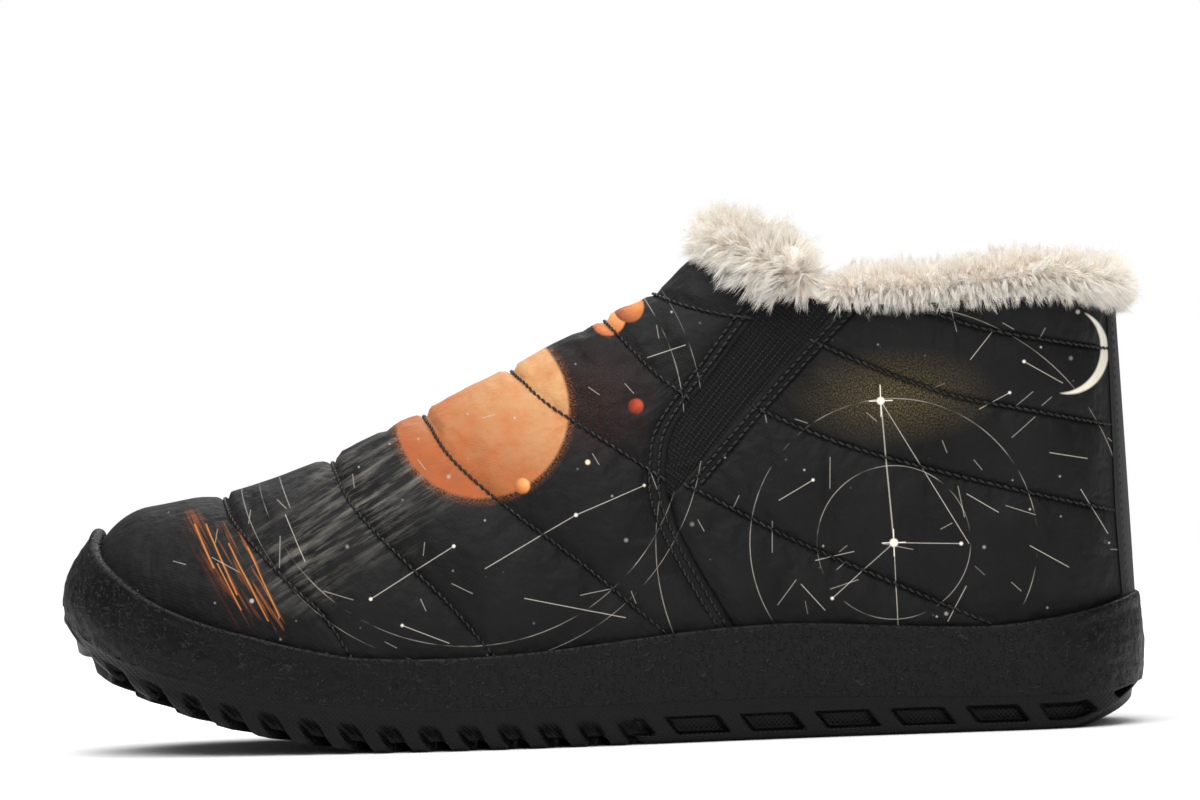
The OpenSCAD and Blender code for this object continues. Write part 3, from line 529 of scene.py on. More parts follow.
# Twisted polyester thread, waxed: two plies wound round each other, with a small shine
def twistedThread():
    material, add, skin, mm = newMaterial("twistedThread", Roughness=0.5, **{"Specular IOR Level": 0.4})
    ply = add("TexWave", {"Vector": mm, "Scale": 0.6, "Distortion": 1.0}, bands_direction="DIAGONAL", give="Fac")
    tone = add("Mix", {0: ply, 6: colour("#030303"), 7: colour("#0e0e0f")}, give=2, data_type="RGBA")
    setInputs(skin, {"Base Color": tone, "Normal": add("Bump", {"Height": ply, "Distance": 0.0001,
        "Strength": 0.6})})
    return material


# Sherpa fleece of polyester: curled tufts, light tips over warm roots darkened by painted shade, no gloss
def fleecePile(name, shadedRootColour, midColour, tipColour):
    material, add, skin, mm = newMaterial(name, Roughness=0.95, **{"Sheen Weight": 0.3, "Sheen Roughness": 0.6,
        "Specular IOR Level": 0.1, "Subsurface Weight": 0.3, "Subsurface Scale": 0.003,
        "Subsurface Radius": (1.0, 0.85, 0.7)})
    # pile runs from 0 at a fibre's root to 1 at its tip; the darker root colour is painted shade
    depth = add("Attribute", attribute_name="pile", give="Fac")
    cloud = add("TexNoise", {"Vector": mm, "Scale": 0.16, "Detail": 3.0})
    shade = add("Math", {0: depth, 1: add("MapRange", {0: cloud, 1: 0.3, 2: 0.7, 3: -0.18, 4: 0.18})},
        operation="ADD")
    low = add("Mix", {0: add("MapRange", {0: shade, 1: 0.0, 2: 0.5}), 6: colour(shadedRootColour), 7: colour(midColour)},
        give=2, data_type="RGBA")
    tone = add("Mix", {0: add("MapRange", {0: shade, 1: 0.45, 2: 1.0}), 6: low, 7: colour(tipColour)}, give=2,
        data_type="RGBA")
    fibre = add("TexNoise", {"Vector": mm, "Scale": 1.1, "Detail": 4.0})
    setInputs(skin, {"Base Color": tone, "Normal": add("Bump", {"Height": fibre, "Distance": 0.0006,
        "Strength": 0.6})})
    return material


# Plain inner materials: foam, board, stiffener sheet, spring steel
def innerMaterial(name, base, other, scale, roughness, metallic=0.0):
    material, add, skin, mm = newMaterial(name, Roughness=roughness, Metallic=metallic)
    grain = add("TexNoise", {"Vector": mm, "Scale": scale, "Detail": 4.0})
    tone = add("Mix", {0: grain, 6: colour(base), 7: colour(other)}, give=2, data_type="RGBA")
    setInputs(skin, {"Base Color": tone, "Normal": add("Bump", {"Height": grain, "Distance": 0.0002,
        "Strength": 0.4})})
    return material


taffeta = printedCloth()
sidewallRubber = mouldedRubber("mouldedRubberSidewall", "#060606", "#0a0a0a", 1.0, False)
treadRubber = mouldedRubber("mouldedRubberTread", "#060606", "#0a0a0a", 0.0, True)
elastic = knittedElastic()
threadMaterial = twistedThread()
# the first colour of each fleece is its root colour, darkened as painted shade
cuffFleece = fleecePile("sherpaFleeceCuff", "#f0e1d0", "#fbf3e8", "#fffbf5")
liningFleece = fleecePile("sherpaFleeceLining", "#b89c82", "#e0cfbb", "#f3eadc")
tapeMaterial = innerMaterial("wovenHeelTape", "#0b0b0c", "#161617", 1.4, 0.7)
print("materials ready")

# quilted covers

quilt = {"puff": 2.0, "crown": 12.0, "groove": 0.9, "gather": 0.3, "clothThickness": 1.0,
         "frontRows": (-4.6, -2.2), "rearRows": (1.8, 4.4), "stripHalf": 12 / 78,
         "seamStep": 0.6, "rollReach": 1.3, "rollDrop": 1.1, "lipDrop": 0.7}


def ridgeLimit(line, depth):
    # keeps side-view points at or under the ridge
    top = curve(profile["lastLevel"], line[:, 0]) + archHeight(line[:, 0], depth)
    return np.column_stack((line[:, 0], np.minimum(line[:, 1], top)))


def seamPoints(line, side, depth=0.0):
    flat = np.array(line, float)
    count = int(np.sum(np.hypot(*np.diff(flat, axis=0).T)) / quilt["seamStep"]) + 2
    flat = ridgeLimit(along(line, count), depth)
    return wallPoint(flat[:, 0], flat[:, 1], side, depth)


def overRidge(line, depth=0.0):
    # a seam up one side, over the ridge and down the other
    flat = ridgeLimit(along(line, 240), depth)
    turns = np.abs(archTurn(flat[:, 0], flat[:, 1], depth))
    kept = turns > 0.3
    order = np.argsort(turns[kept], kind="stable")
    turns, xs = turns[kept][order], flat[kept][order, 0]
    closest, slope = turns[0], (xs[12] - xs[0]) / max(turns[12] - turns[0], 1e-6)
    turn = np.linspace(-turns[-1], turns[-1], 900)
    top = xs[0] - slope * closest / 2 * (1 - (np.abs(turn) / closest) ** 2)
    x = np.where(np.abs(turn) > closest, np.interp(np.abs(turn), turns, xs), top)
    path = archPoint(x, turn, depth)
    run = runOf(path)
    even = np.linspace(0, run[-1], int(run[-1] / quilt["seamStep"]) + 2)
    return np.column_stack([np.interp(even, run, path[:, a]) for a in range(3)])


frontEdge = seamLine["below"][1:] + seamLine["goreFront"]
frontRows = [[(x + off, z) for x, z in frontEdge] for off in quilt["frontRows"]]
rearRows = [[(x + off, z - 1) for x, z in seamLine["goreRear"][1:]] for off in quilt["rearRows"]]


pillow = {"pressure": 4.0, "slack": 0.035, "frames": 18, "limit": 3.4, "share": 0.75, "sink": -0.3, "slide": 0.8}


def halfway(values):
    # fills in a row between each two rows, then a column between each two columns
    for axis in (0, 1):
        values = np.moveaxis(values, axis, 0)
        wide = np.empty((len(values) * 2 - 1,) + values.shape[1:])
        wide[::2], wide[1::2] = values, (values[:-1] + values[1:]) / 2
        values = np.moveaxis(wide, 0, axis)
    return values


def blownCloth(grid, outward, pinned):
    # real cloth, sewn down where pinned, with a little slack, pushed out by the wadding under it
    small, away = grid[::2, ::2], outward[::2, ::2]
    cols, rows = small.shape[:2]
    flip = bool((normalsOf(small)[cols // 2, rows // 2] * away[cols // 2, rows // 2]).sum() < 0)
    mesh = bpy.data.meshes.new("clothTrial")
    mesh.from_pydata((small.reshape(-1, 3) / 100).tolist(), [], gridFaces(cols, rows, 0, flip=flip))
    trial = bpy.data.objects.new("clothTrial", mesh)
    bpy.context.scene.collection.objects.link(trial)
    sewn = trial.vertex_groups.new(name="sewn")
    sewn.add(np.flatnonzero(pinned[::2, ::2].reshape(-1)).tolist(), 1, "REPLACE")
    sim = trial.modifiers.new("sewnCloth", "CLOTH")
    feel = sim.settings
    feel.quality, feel.mass, feel.air_damping = 6, 0.2, 3.0
    feel.tension_stiffness, feel.compression_stiffness, feel.shear_stiffness, feel.bending_stiffness = 25, 15, 8, 0.5
    feel.vertex_group_mass, feel.shrink_min = "sewn", -pillow["slack"]
    feel.use_pressure, feel.uniform_pressure_force = True, pillow["pressure"]
    feel.effector_weights.gravity = 0
    sim.collision_settings.use_collision = False
    sim.point_cache.frame_end = pillow["frames"]
    for frameNumber in range(1, pillow["frames"] + 1):
        bpy.context.scene.frame_set(frameNumber)
    solved = trial.evaluated_get(bpy.context.evaluated_depsgraph_get()).to_mesh()
    co = np.empty(len(solved.vertices) * 3)
    solved.vertices.foreach_get("co", co)
    moved = co.reshape(cols, rows, 3) * 100 - small
    bpy.data.objects.remove(trial)
    bpy.data.meshes.remove(mesh)
    bpy.context.scene.frame_set(1)
    rise = (moved * away).sum(-1)
    slide = np.clip(moved - away * rise[..., None], -pillow["slide"], pillow["slide"])
    print("  cloth rises", round(float(rise.min()), 2), "to", round(float(rise.max()), 2), "mm")
    return halfway(away * np.clip(rise, pillow["sink"], pillow["limit"])[..., None] + 0.6 * slide)


def puffed(grid, outward, seams, allowed):
    # raises cloth between its seams: a groove at each seam, small gathers beside it, a crown further off
    cloud = np.concatenate(seams)
    run = np.concatenate([np.arange(len(s)) * quilt["seamStep"] + 37 * k for k, s in enumerate(seams)])
    away, which = nearest(grid, cloud)
    q = np.clip(away / quilt["crown"], 0, 1)
    height = quilt["puff"] * (1 - (1 - q) ** 2.4)
    blown = 0
    pinned = (away < 1.4) | (allowed < 0.15)
    for edge in (pinned[0], pinned[-1], pinned[:, 0], pinned[:, -1]):
        edge[:] = True
    blown = blownCloth(grid, outward, pinned) * (pillow["share"] * allowed)[..., None]
    height *= 1 - pillow["share"]
    height += quilt["gather"] * ripple(run[which] * 1.15, 0.7) * np.exp(-away / 4.5) * smooth(0, 2.2, away)
    height += 0.16 * ripple(run[which] * 2.6, 2.1) * np.exp(-away / 2.2) * smooth(0, 1.0, away)
    height -= quilt["groove"] * np.exp(-(away / 1.1) ** 2)
    return grid + outward * (height * allowed)[..., None] + blown


def rolledEdge(away):
    # how far the cloth drops over its own cut edge
    return quilt["rollDrop"] * (1 - np.sqrt(1 - (1 - np.clip(away / quilt["rollReach"], 0, 1)) ** 2))


def vampEdgeTable(depth):
    line = np.concatenate([along(seamLine[k], 120) for k in ("below", "goreFront", "vampCollar")])
    turns = archTurn(line[:, 0], line[:, 1], depth)
    order = np.argsort(turns, kind="stable")
    return np.maximum.accumulate(turns[order]), line[order, 0]


def vampGrid(depth, cols, rows, trim=0.0, start=0.0):
    turns, xs = vampEdgeTable(depth)
    turn = np.linspace(-math.pi / 2, math.pi / 2, rows)
    end = np.interp(np.abs(turn), turns, xs) - trim
    t = np.linspace(start, 1, cols)[:, None]
    tip = upperToe + depth + 0.05
    x = tip + (end[None, :] - tip) * (0.22 * t + 0.78 * t**2)
    return archPoint(x, np.broadcast_to(turn, x.shape), depth), end[None, :] - x


cols, rows = ((213, 227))
grid, gap = vampGrid(0.0, cols, rows)
out = normalsOf(grid)
out = out if out[cols // 2, rows // 2, 2] > 0 else -out
seams = [overRidge(line) for line in vampQuilts] + [seamPoints(line, side) for line in frontRows
    for side in (-1, 1)]
aboveLip = grid[..., 2] - curve(profile["lip"], grid[..., 0])
allowed = smooth(-1.0, 8.0, aboveLip) * (0.25 + 0.75 * smooth(-128, -98, grid[..., 0])) * smooth(-138, -126,
    grid[..., 0])
cover = puffed(grid, out, seams, allowed)
cover = cover - out * (rolledEdge(gap) + quilt["lipDrop"] * smooth(1.5, -3, aboveLip))[..., None]
points, faces = thickPanel(cover, cover - out * quilt["clothThickness"], flip=True)
vampCover = makePiece("vampCover", points, faces, taffeta, replaces=["vamp_shell", "vamp_wadding"])
print("vamp cover", len(points))


def quarterEdge(lines):
    line = np.concatenate([along(seamLine[k], 120) for k in lines])
    level = curve(profile["lastLevel"], line[:, 0])
    share = (line[:, 1] - level) / (curve(profile["collar"], line[:, 0]) - level)
    order = np.argsort(share, kind="stable")
    return np.maximum.accumulate(share[order]), line[order, 0]


def quarterGrid(shares, heights, lines, gap, depth):
    known, xs = quarterEdge(lines)
    front = np.interp(heights, known, xs) + gap
    s, v = np.meshgrid(shares, heights, indexing="ij")
    xf = np.broadcast_to(front, s.shape)
    xb = backX(30 + 79 * v) - depth
    x = xf + (xb - xf) * np.cos(np.abs(s) * math.pi / 2)
    level = curve(profile["lastLevel"], x)
    z = level + (curve(profile["collar"], x) - level) * v
    x = np.minimum(x, backX(z) - depth)
    side = np.where(s < 0, -1, 1)
    return wallPoint(x, z, side, depth), x - xf


for side, label in ((-1, "lateral"), (1, "medial")):
    cols, rows = ((201, 171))
    shares = np.linspace(-1, -0.012, cols) if side < 0 else np.linspace(0.012, 1, cols)
    heights = np.linspace(0, 1, rows)
    grid, gap = quarterGrid(shares, heights, ("below", "goreRear"), 0.0, 0.0)
    out = normalsOf(grid)
    out = out if out[cols // 2, rows // 2, 1] * side > 0 else -out
    seams = [seamPoints(line, side) for line in quarterQuilts + rearRows]
    aboveLip = grid[..., 2] - curve(profile["lip"], grid[..., 0])
    strip = smooth(quilt["stripHalf"] - 0.01, quilt["stripHalf"] + 0.12, np.abs(shares))[:, None]
    allowed = smooth(-1.0, 8.0, aboveLip) * strip * smooth(0.0, 6.0, gap + 1.5)
    cover = puffed(grid, out, seams, allowed)
    # under the vamp's edge the cloth runs on, one layer lower
    lap = (grid[..., 2] < 64) * smooth(2.5, 0.0, gap)
    cover = cover - out * (rolledEdge(gap) * (grid[..., 2] > 62) + 0.6 * lap + quilt["lipDrop"] * smooth(1.5, -3,
        aboveLip))[..., None]
    points, faces = thickPanel(cover, cover - out * quilt["clothThickness"], flip=True)
    piece = makePiece("quarterCover_" + label, points, faces, taffeta, replaces=["quarter_shell_" + label,
        "quarter_wadding_" + label])
print("quarter covers")

# elastic gores, heel tape

gore = {"depth": 1.1, "thickness": 0.8, "margin": 2.2, "ribs": 11, "ribHeight": 0.16}
for side, label in ((-1, "lateral"), (1, "medial")):
    across, down = 90, 160
    front, rear = along(seamLine["goreFront"], down), along(seamLine["goreRear"], down)
    t = np.linspace(0, 1, across)[:, None]
    x = (front[None, :, 0] - gore["margin"]) * (1 - t) + (rear[None, :, 0] + gore["margin"]) * t
    z = front[None, :, 1] * (1 - t) + rear[None, :, 1] * t
    z = np.minimum(z, curve(profile["collar"], x) - 0.2)
    rib = gore["ribHeight"] * np.cos(t * gore["ribs"] * 2 * math.pi) * np.ones_like(x)
    outer = wallPoint(x, z, side, gore["depth"])
    outer[..., 1] += side * rib
    inner = wallPoint(x, z, side, gore["depth"] + gore["thickness"])
    points, faces = thickPanel(outer, inner, flip=side > 0)
    makePiece("gorePanel_" + label, points, faces, elastic, replaces=["gore_" + label])

stripEdge = quilt["stripHalf"]
shares, heights = np.linspace(-stripEdge, stripEdge, 60), np.linspace(0.14, 0.995, 140)
outer, gap = quarterGrid(shares, heights, ("below", "goreRear"), 1.0, -1.0)
inner, gap = quarterGrid(shares, heights, ("below", "goreRear"), 1.0, -0.2)
edge = np.abs(shares) / stripEdge
outer = outer + (inner - outer) * (0.75 * smooth(0.93, 1.0, edge))[:, None, None]
points, faces = thickPanel(outer, inner, flip=True)
makePiece("heelTape", points, faces, tapeMaterial, replaces=["heel_strip"])
print("gores and heel tape")

# stitching: each stitch is its own short twist of thread

stitch = {"pitch": 2.2, "length": 2.5, "width": 0.78, "height": 0.7, "turn": 12, "sunk": -0.3}


def stitchRows(name, rows, replaces, pitch=None, size=1.0):
    pitch = pitch or stitch["pitch"]
    ring, steps = 8, 6
    points, faces = [], []
    for row in rows:
        run = runOf(row)
        count = max(2, int(run[-1] / pitch))
        for k in range(count):
            spot = (k + 0.5) * run[-1] / count
            ahead = min(spot + 0.8, run[-1])
            p, q = (np.array([np.interp(s, run, row[:, a]) for a in range(3)]) for s in (spot, ahead))
            forward = (q - p) / max(np.linalg.norm(q - p), 1e-6)
            outward = np.array([0.0, p[1] - centreY(p[0]), 0.0])
            if name == "vampQuilting":
                # the vamp turns from wall to top: its outward is away from a line low down the middle
                outward[2] = max(p[2] - curve(profile["lastLevel"], p[0]), 1) * 0.9
            outward -= forward * outward.dot(forward)
            outward /= max(np.linalg.norm(outward), 1e-6)
            sideways = np.cross(forward, outward)
            swing = math.radians(stitch["turn"])
            forward, sideways = (forward * math.cos(swing) + sideways * math.sin(swing), sideways * math.cos(swing)
                - forward * math.sin(swing))
            start = len(points)
            for i in range(steps + 1):
                u = -1 + 2 * i / steps
                fat = max(0.12, (1 - abs(u) ** 2.6) ** 0.5)
                middle = p + forward * u * stitch["length"] * size / 2 + outward * (stitch["sunk"]
                    - 0.35 * stitch["height"] * (u * u) * size)
                for j in range(ring):
                    a = 2 * math.pi * j / ring
                    points.append(middle + sideways * math.cos(a) * fat * stitch["width"] * size / 2 + outward
                        * math.sin(a) * fat * stitch["height"] * size / 2)
            for i in range(steps):
                for j in range(ring):
                    a, b = start + i * ring + j, start + i * ring + (j + 1) % ring
                    faces.append((a, b, b + ring, a + ring))
            faces.append([start + j for j in range(ring - 1, -1, -1)])
            faces.append([start + steps * ring + j for j in range(ring)])
    return makePiece(name, np.array(points), faces, threadMaterial, replaces=replaces)


# a depth below zero lies outside the cloth
lift = -0.25
stitchRows("vampQuilting", [overRidge(line, lift) for line in vampQuilts], ["vamp_quilt_thread"])
for side, label in ((-1, "lateral"), (1, "medial")):
    stitchRows("quarterQuilting_" + label, [seamPoints(line, side, lift) for line in quarterQuilts],
        ["quarter_quilt_thread_" + label])
    stitchRows("goreFrontStitching_" + label, [seamPoints(line, side, lift) for line in frontRows],
        ["gore_front_stitch_" + label], pitch=2.2, size=0.95)
    stitchRows("goreRearStitching_" + label, [seamPoints(line, side, lift) for line in rearRows],
        ["gore_rear_stitch_" + label], pitch=2.2, size=0.95)
tapeRows = []
for s in (-1, 1):
    row, gap = quarterGrid(np.array([s * (stripEdge - 0.022)]), np.linspace(0.18, 0.98, 200),
        ("below", "goreRear"), 1.0, -1.05)
    tapeRows.append(row[0])
stitchRows("heelTapeStitching", tapeRows, ["heel_strip_stitch"], pitch=2.3, size=0.7)
print("stitching")

# sole: a ring of evenly spaced stations round the outline

sole = {"stations": 920, "wall": 2.4, "bead": 0.95, "beadSwell": 0.35, "toeBead": 1.1,
        "lugDepth": 4.6, "forePitch": 10.5, "foreStart": -122, "foreSlant": 0.55, "foreRound": (-0.6, 0.35),
        "rearPitch": 19.5, "rearStart": 18, "pillar": 2.7, "corner": 2.0, "recess": 3.0, "waist": 8,
        "chevronPitch": 15, "chevronStart": -108, "chevronSlant": 0.84, "middlePitch": 16, "middleStart": 40,
        "step": 0.35, "foot": 0.6}
k = np.linspace(0, 2 * math.pi, 6001)
x = -np.cos(k) * last["heel"]
outline = np.column_stack((x, centreY(x) + np.where(k <= math.pi, -1, 1) * soleHalf(x)))
run = np.concatenate(([0], np.cumsum(np.hypot(*np.diff(outline, axis=0).T))))
even = np.linspace(0, run[-1], sole["stations"], endpoint=False)
outline = np.column_stack([np.interp(even, run, outline[:, a]) for a in (0, 1)])
for _ in range(3):
    outline = (np.roll(outline, 1, 0) + 2 * outline + np.roll(outline, -1, 0)) / 4
ahead = np.roll(outline, -1, 0) - np.roll(outline, 1, 0)
ahead /= np.linalg.norm(ahead, axis=1, keepdims=True)
inward = np.column_stack((-ahead[:, 1], ahead[:, 0]))
sx = outline[:, 0]
zGround, zParting, zLip = (np.maximum(curve(profile[n], sx), 0) for n in ("ground", "parting", "lip"))
zWidest, leaning = curve(profile["widest"], sx), curve(profile["lean"], sx)


def station(inset, z):
    # one loop round the sole, in from the outline at the given heights
    return np.column_stack((outline + inward * inset[:, None], z))


def wallInset(z):
    return leaning * (z - zWidest) ** 2


def closedRing(name, loops, material, replaces, flip=False):
    # a closed solid through loops that run round the sole; the last loop joins the first
    grid = np.array(loops).transpose(1, 0, 2)
    count, rows = grid.shape[:2]
    first, final = np.arange(count) * rows, np.arange(count) * rows + rows - 1
    ends = np.stack((first, final, np.roll(final, -1), np.roll(first, -1)), -1)
    faces = gridFaces(count, rows, wrap=True, flip=flip) + (ends[:, ::-1] if flip else ends).tolist()
    return makePiece(name, grid, faces, material, replaces=replaces)


loops, weight = [], []
bead = sole["bead"] + sole["toeBead"] * smooth(-112, -134, sx)
for v in np.linspace(0, 1, 44):
    z = zParting + (zLip - bead - zParting) * v
    swell = sole["beadSwell"] * smooth(4.5, 1.2, zLip - z) * np.ones_like(sx)
    loops.append(station(wallInset(z) - swell, z))
    weight.append(float(smooth(0, 0.05, v)) * (1 - 0.55 * float(smooth(0.86, 1.0, v))))
topInset = wallInset(zLip - bead) - sole["beadSwell"]
for a in np.linspace(20, 180, 8):
    loops.append(station(topInset + bead * (1 - math.cos(math.radians(a))), zLip - bead
        + bead * math.sin(math.radians(a))))
    weight.append(0.2)
for drop in (2.0, 4.5, 8.0):
    share = np.clip(drop / np.maximum(zLip - zParting, 1), 0, 0.9)
    z = zLip - (zLip - zParting) * share
    loops.append(station(wallInset(z) + np.maximum(sole["wall"] * np.minimum(1, 0.8 + share), 2 * bead), z))
    weight.append(0.0)
loops.append(station(wallInset(zParting) + 3.2, zParting + 1.2))
weight.append(0.0)
sidewall = closedRing("sidewallCup", loops, sidewallRubber, ["sole_sidewall"], flip=True)
group = sidewall.vertex_groups.new(name="grain")
for r, w in enumerate(weight):
    if w > 0:
        group.add([c * len(loops) + r for c in range(sole["stations"])], w, "REPLACE")
for name, kind, size, strength in (("softDents", "CLOUDS", 0.007, 0.00045), ("leatherGrain", "STUCCI",
    0.0022, 0.00035)):
    texture = bpy.data.textures.new(name, kind)
    texture.noise_scale = size
    press = sidewall.modifiers.new(name, "DISPLACE")
    press.texture, press.texture_coords, press.strength, press.mid_level = texture, "LOCAL", strength, 0.5
    press.vertex_group = "grain"
print("sidewall")


def near(phase, pitch, offset):
    # distance from the middle of the nearest bar in a row of bars
    return np.abs((phase - offset + pitch / 2) % pitch - pitch / 2)


def treadBars(x, q, y):
    # 1 on a lug and 0 in a gap; q is the distance in from the sole's edge, and below 0 it is height up the side
    swell = np.cos(near(x - sole["foreSlant"] * q, sole["forePitch"], sole["foreStart"]) * 2 * math.pi
        / sole["forePitch"])
    fore = smooth(*sole["foreRound"], swell)
    fore = fore * (1 - smooth(13.5, 16, q))
    off = np.abs(y - centreY(x))
    chevron = 1 - smooth(2.9, 4.0, near(x + sole["chevronSlant"] * (off - 8.2), sole["chevronPitch"],
        sole["chevronStart"]))
    chevron = chevron * smooth(2.2, 3.6, off) * (1 - smooth(13, 14.8, off)) * smooth(-124, -118,
        x) * smooth(-6, -12, x)
    pillar = 1 - smooth(sole["pillar"], sole["pillar"] + 1.0, near(x - 0.75 * q, sole["rearPitch"],
        sole["rearStart"]))
    block = 1 - smooth(5.8, 6.9, near(x - 0.5 * q, sole["rearPitch"], sole["rearStart"]))
    rail = smooth(-2.7, -2.0, q) * (1 - smooth(4.5, 6, q))
    high = smooth(-6.2, -6.9, q)
    rear = np.where(q < 0, np.maximum(np.maximum(pillar, rail), high),
        np.maximum(block * (1 - smooth(16, 18, q)), rail))
    middle = (1 - smooth(3.2, 4.3, near(x, sole["middlePitch"], sole["middleStart"]))) * (1 - smooth(9.5, 11,
        off)) * smooth(30, 34, x) * smooth(112, 108, x)
    blend = smooth(6, 12, x)
    bars = (1 - blend) * np.maximum(fore, chevron * (q > 0)) + blend * np.maximum(rear, middle * (q > 0))
    return 1 - (1 - bars) * smooth(-140, -132, x)


loops = []
height = zParting - zGround
for v in np.linspace(0, 1, 30):
    h = height * (1 - v) + sole["foot"] * (1 - v) ** 8
    z = zGround + h
    bars = treadBars(sx, -h, outline[:, 1])
    fades = np.where(sx < sole["waist"], smooth(0.72, 0.3, h / height), smooth(0.92, 0.6, h / height))
    roundness = sole["corner"] * (1 - np.sqrt(1 - (1 - np.clip(h / sole["corner"], 0, 1)) ** 2))
    bulge = 0.5 * bars * fades * (sx < 10)
    inset = wallInset(z) + sole["step"] * smooth(0.0, 0.12, v) + roundness + (1
        - bars) * fades * sole["recess"] - bulge
    lifted = (1 - bars) * smooth(2.6, 0, h) * np.where(sx < sole["waist"], 2.6, 1.5)
    loops.append(station(inset, z + lifted))
edgeInset = wallInset(zGround) + sole["step"] + sole["corner"]
spineX = sx * 0.8
spine = np.column_stack((spineX, centreY(spineX)))
edge = outline + inward * edgeInset[:, None]
for f in np.linspace(0.02, 1, 46):
    flat = edge + (spine - edge) * f
    q = np.linalg.norm(flat - edge, axis=1) + sole["corner"]
    bars = treadBars(flat[:, 0], q, flat[:, 1])
    ground = np.maximum(curve(profile["ground"], flat[:, 0]), 0)
    depth = np.minimum(sole["lugDepth"], curve(profile["parting"], flat[:, 0]) - ground - 2.2)
    loops.append(np.column_stack((flat, ground + (1 - bars) * depth)))
for f in np.linspace(1, 0, 5):
    flat = outline + inward * 1.6 + (spine - outline - inward * 1.6) * f
    loops.append(np.column_stack((flat, np.maximum(curve(profile["parting"], flat[:, 0]), 0) - 0.4 * (f > 0))))
closedRing("treadSole", loops, treadRubber, ["outsole"])
print("tread")

# fleece

fleece = {"cuffRadius": 6.6, "seat": -0.7, "depth": 2.0, "frontEnd": 53.5, "rearStart": 64,
          "strands": 46000, "width": 0.145, "tuft": 28,
          "cuffFront": {"core": 0.62, "length": 5.6, "share": 0.5}, "cuffRear": {"core": 0.52, "length": 4.6,
              "share": 1.0}}


def cuffPath(spots, radii, x):
    x = np.maximum(x, last["throat"] + 1)
    slope = (curve(profile["collar"], x + 1) - curve(profile["collar"], x - 1)) / 2
    size = np.sqrt(1 + slope**2)
    off = (radii + fleece["seat"])[:, None] * np.column_stack((-slope / size, np.zeros_like(x), 1 / size))
    spots = spots.copy()
    spots[:, 2] = curve(profile["collar"], spots[:, 0])
    return spots + off


def cuffRadii(t, r):
    return r * np.maximum(0.7, roundEnd(1 - np.abs(t), 0.07, 2))


def frontCuff(count):
    t = np.linspace(-1, 1, count)
    xs = last["throat"] + (fleece["frontEnd"] - last["throat"]) * np.linspace(0, 1, 200) ** 1.6
    top = curve(profile["lastLevel"], xs) + archHeight(xs, fleece["depth"])
    turns = archTurn(xs, np.minimum(curve(profile["collar"], xs), top), fleece["depth"])
    turns[0] = 0
    turns = np.maximum.accumulate(turns)
    turn = turns[-1] * t
    x = np.interp(np.abs(turn), turns, xs)
    # the roll is fuller towards its two ends
    full = 1 + 0.26 * smooth(0.2, 0.62, np.abs(t))
    radii = cuffRadii(t, fleece["cuffRadius"]) * full
    return cuffPath(archPoint(x, turn, fleece["depth"]), radii, x), radii


def rearCuff(count):
    t = np.linspace(-1, 1, count)
    rearmost = backX(114) - fleece["depth"]
    x = fleece["rearStart"] + (rearmost - fleece["rearStart"]) * np.cos(np.pi / 2 * t)
    # the roll is a little thinner over the ankle
    thin = 0.84 + 0.16 * smooth(86, 114, x)
    spots = wallPoint(np.minimum(x, rearmost - 0.01), curve(profile["collar"], x), np.where(t < 0, -1, 1),
        fleece["depth"])
    radii = cuffRadii(t, fleece["cuffRadius"]) * thin
    return cuffPath(spots, radii, x), radii


def pileStrands(roots, normals, lean, length, width, seed):
    # ribbons of fibre that gather into curled tufts
    rng = np.random.default_rng(seed)
    n = len(roots)
    heads = rng.choice(n, max(8, n // fleece["tuft"]), replace=False)
    tree = KDTree(len(heads))
    for i, h in enumerate(heads):
        tree.insert(roots[h], i)
    tree.balance()
    owner = np.array([tree.find(r)[1] for r in roots])
    curl = rng.normal(0, 1, (len(heads), 3))
    headTip = roots[heads] + normals[heads] * length * rng.uniform(0.75, 1.2,
        (len(heads), 1)) + curl * length * 0.3 + lean[heads]
    size = length * rng.uniform(0.6, 1.15, (n, 1))
    tip = roots + normals * size + rng.normal(0, 0.12, (n, 3)) * length + lean
    tip = tip + (headTip[owner] - tip) * rng.uniform(0.25, 0.68, (n, 1))
    swirl = np.cross(curl[owner], normals) * length * 0.12
    middle = roots + normals * size * 0.3 + (tip - roots) * 0.32 + swirl
    across = np.cross(tip - roots, rng.normal(0, 1, (n, 3)))
    across /= np.maximum(np.linalg.norm(across, axis=1, keepdims=True), 1e-6)
    w = width * rng.uniform(0.6, 1.2, (n, 1)) / 2
    points = np.stack((roots - across * w, roots + across * w, middle - across * w * 0.9, middle + across * w * 0.9,
        tip), 1).reshape(-1, 3)
    base = np.arange(n)[:, None] * 5
    faces = (base + [0, 1, 3, 2]).tolist() + (base + [2, 3, 4]).tolist()
    # painted shade: each strand is coloured darker at its root and lighter at its tip
    tone = rng.uniform(-0.08, 0.08, (n, 1)) + np.array([[0.2, 0.2, 0.6, 0.6, 1.0]])
    tone = tone + 0.06 * rng.normal(0, 1, len(heads))[owner][:, None]
    return points, faces, np.clip(tone, 0, 1).reshape(-1)


def setPile(piece, values):
    layer = piece.data.attributes.new("pile", "FLOAT", "POINT")
    layer.data.foreach_set("value", np.asarray(values, np.float32))


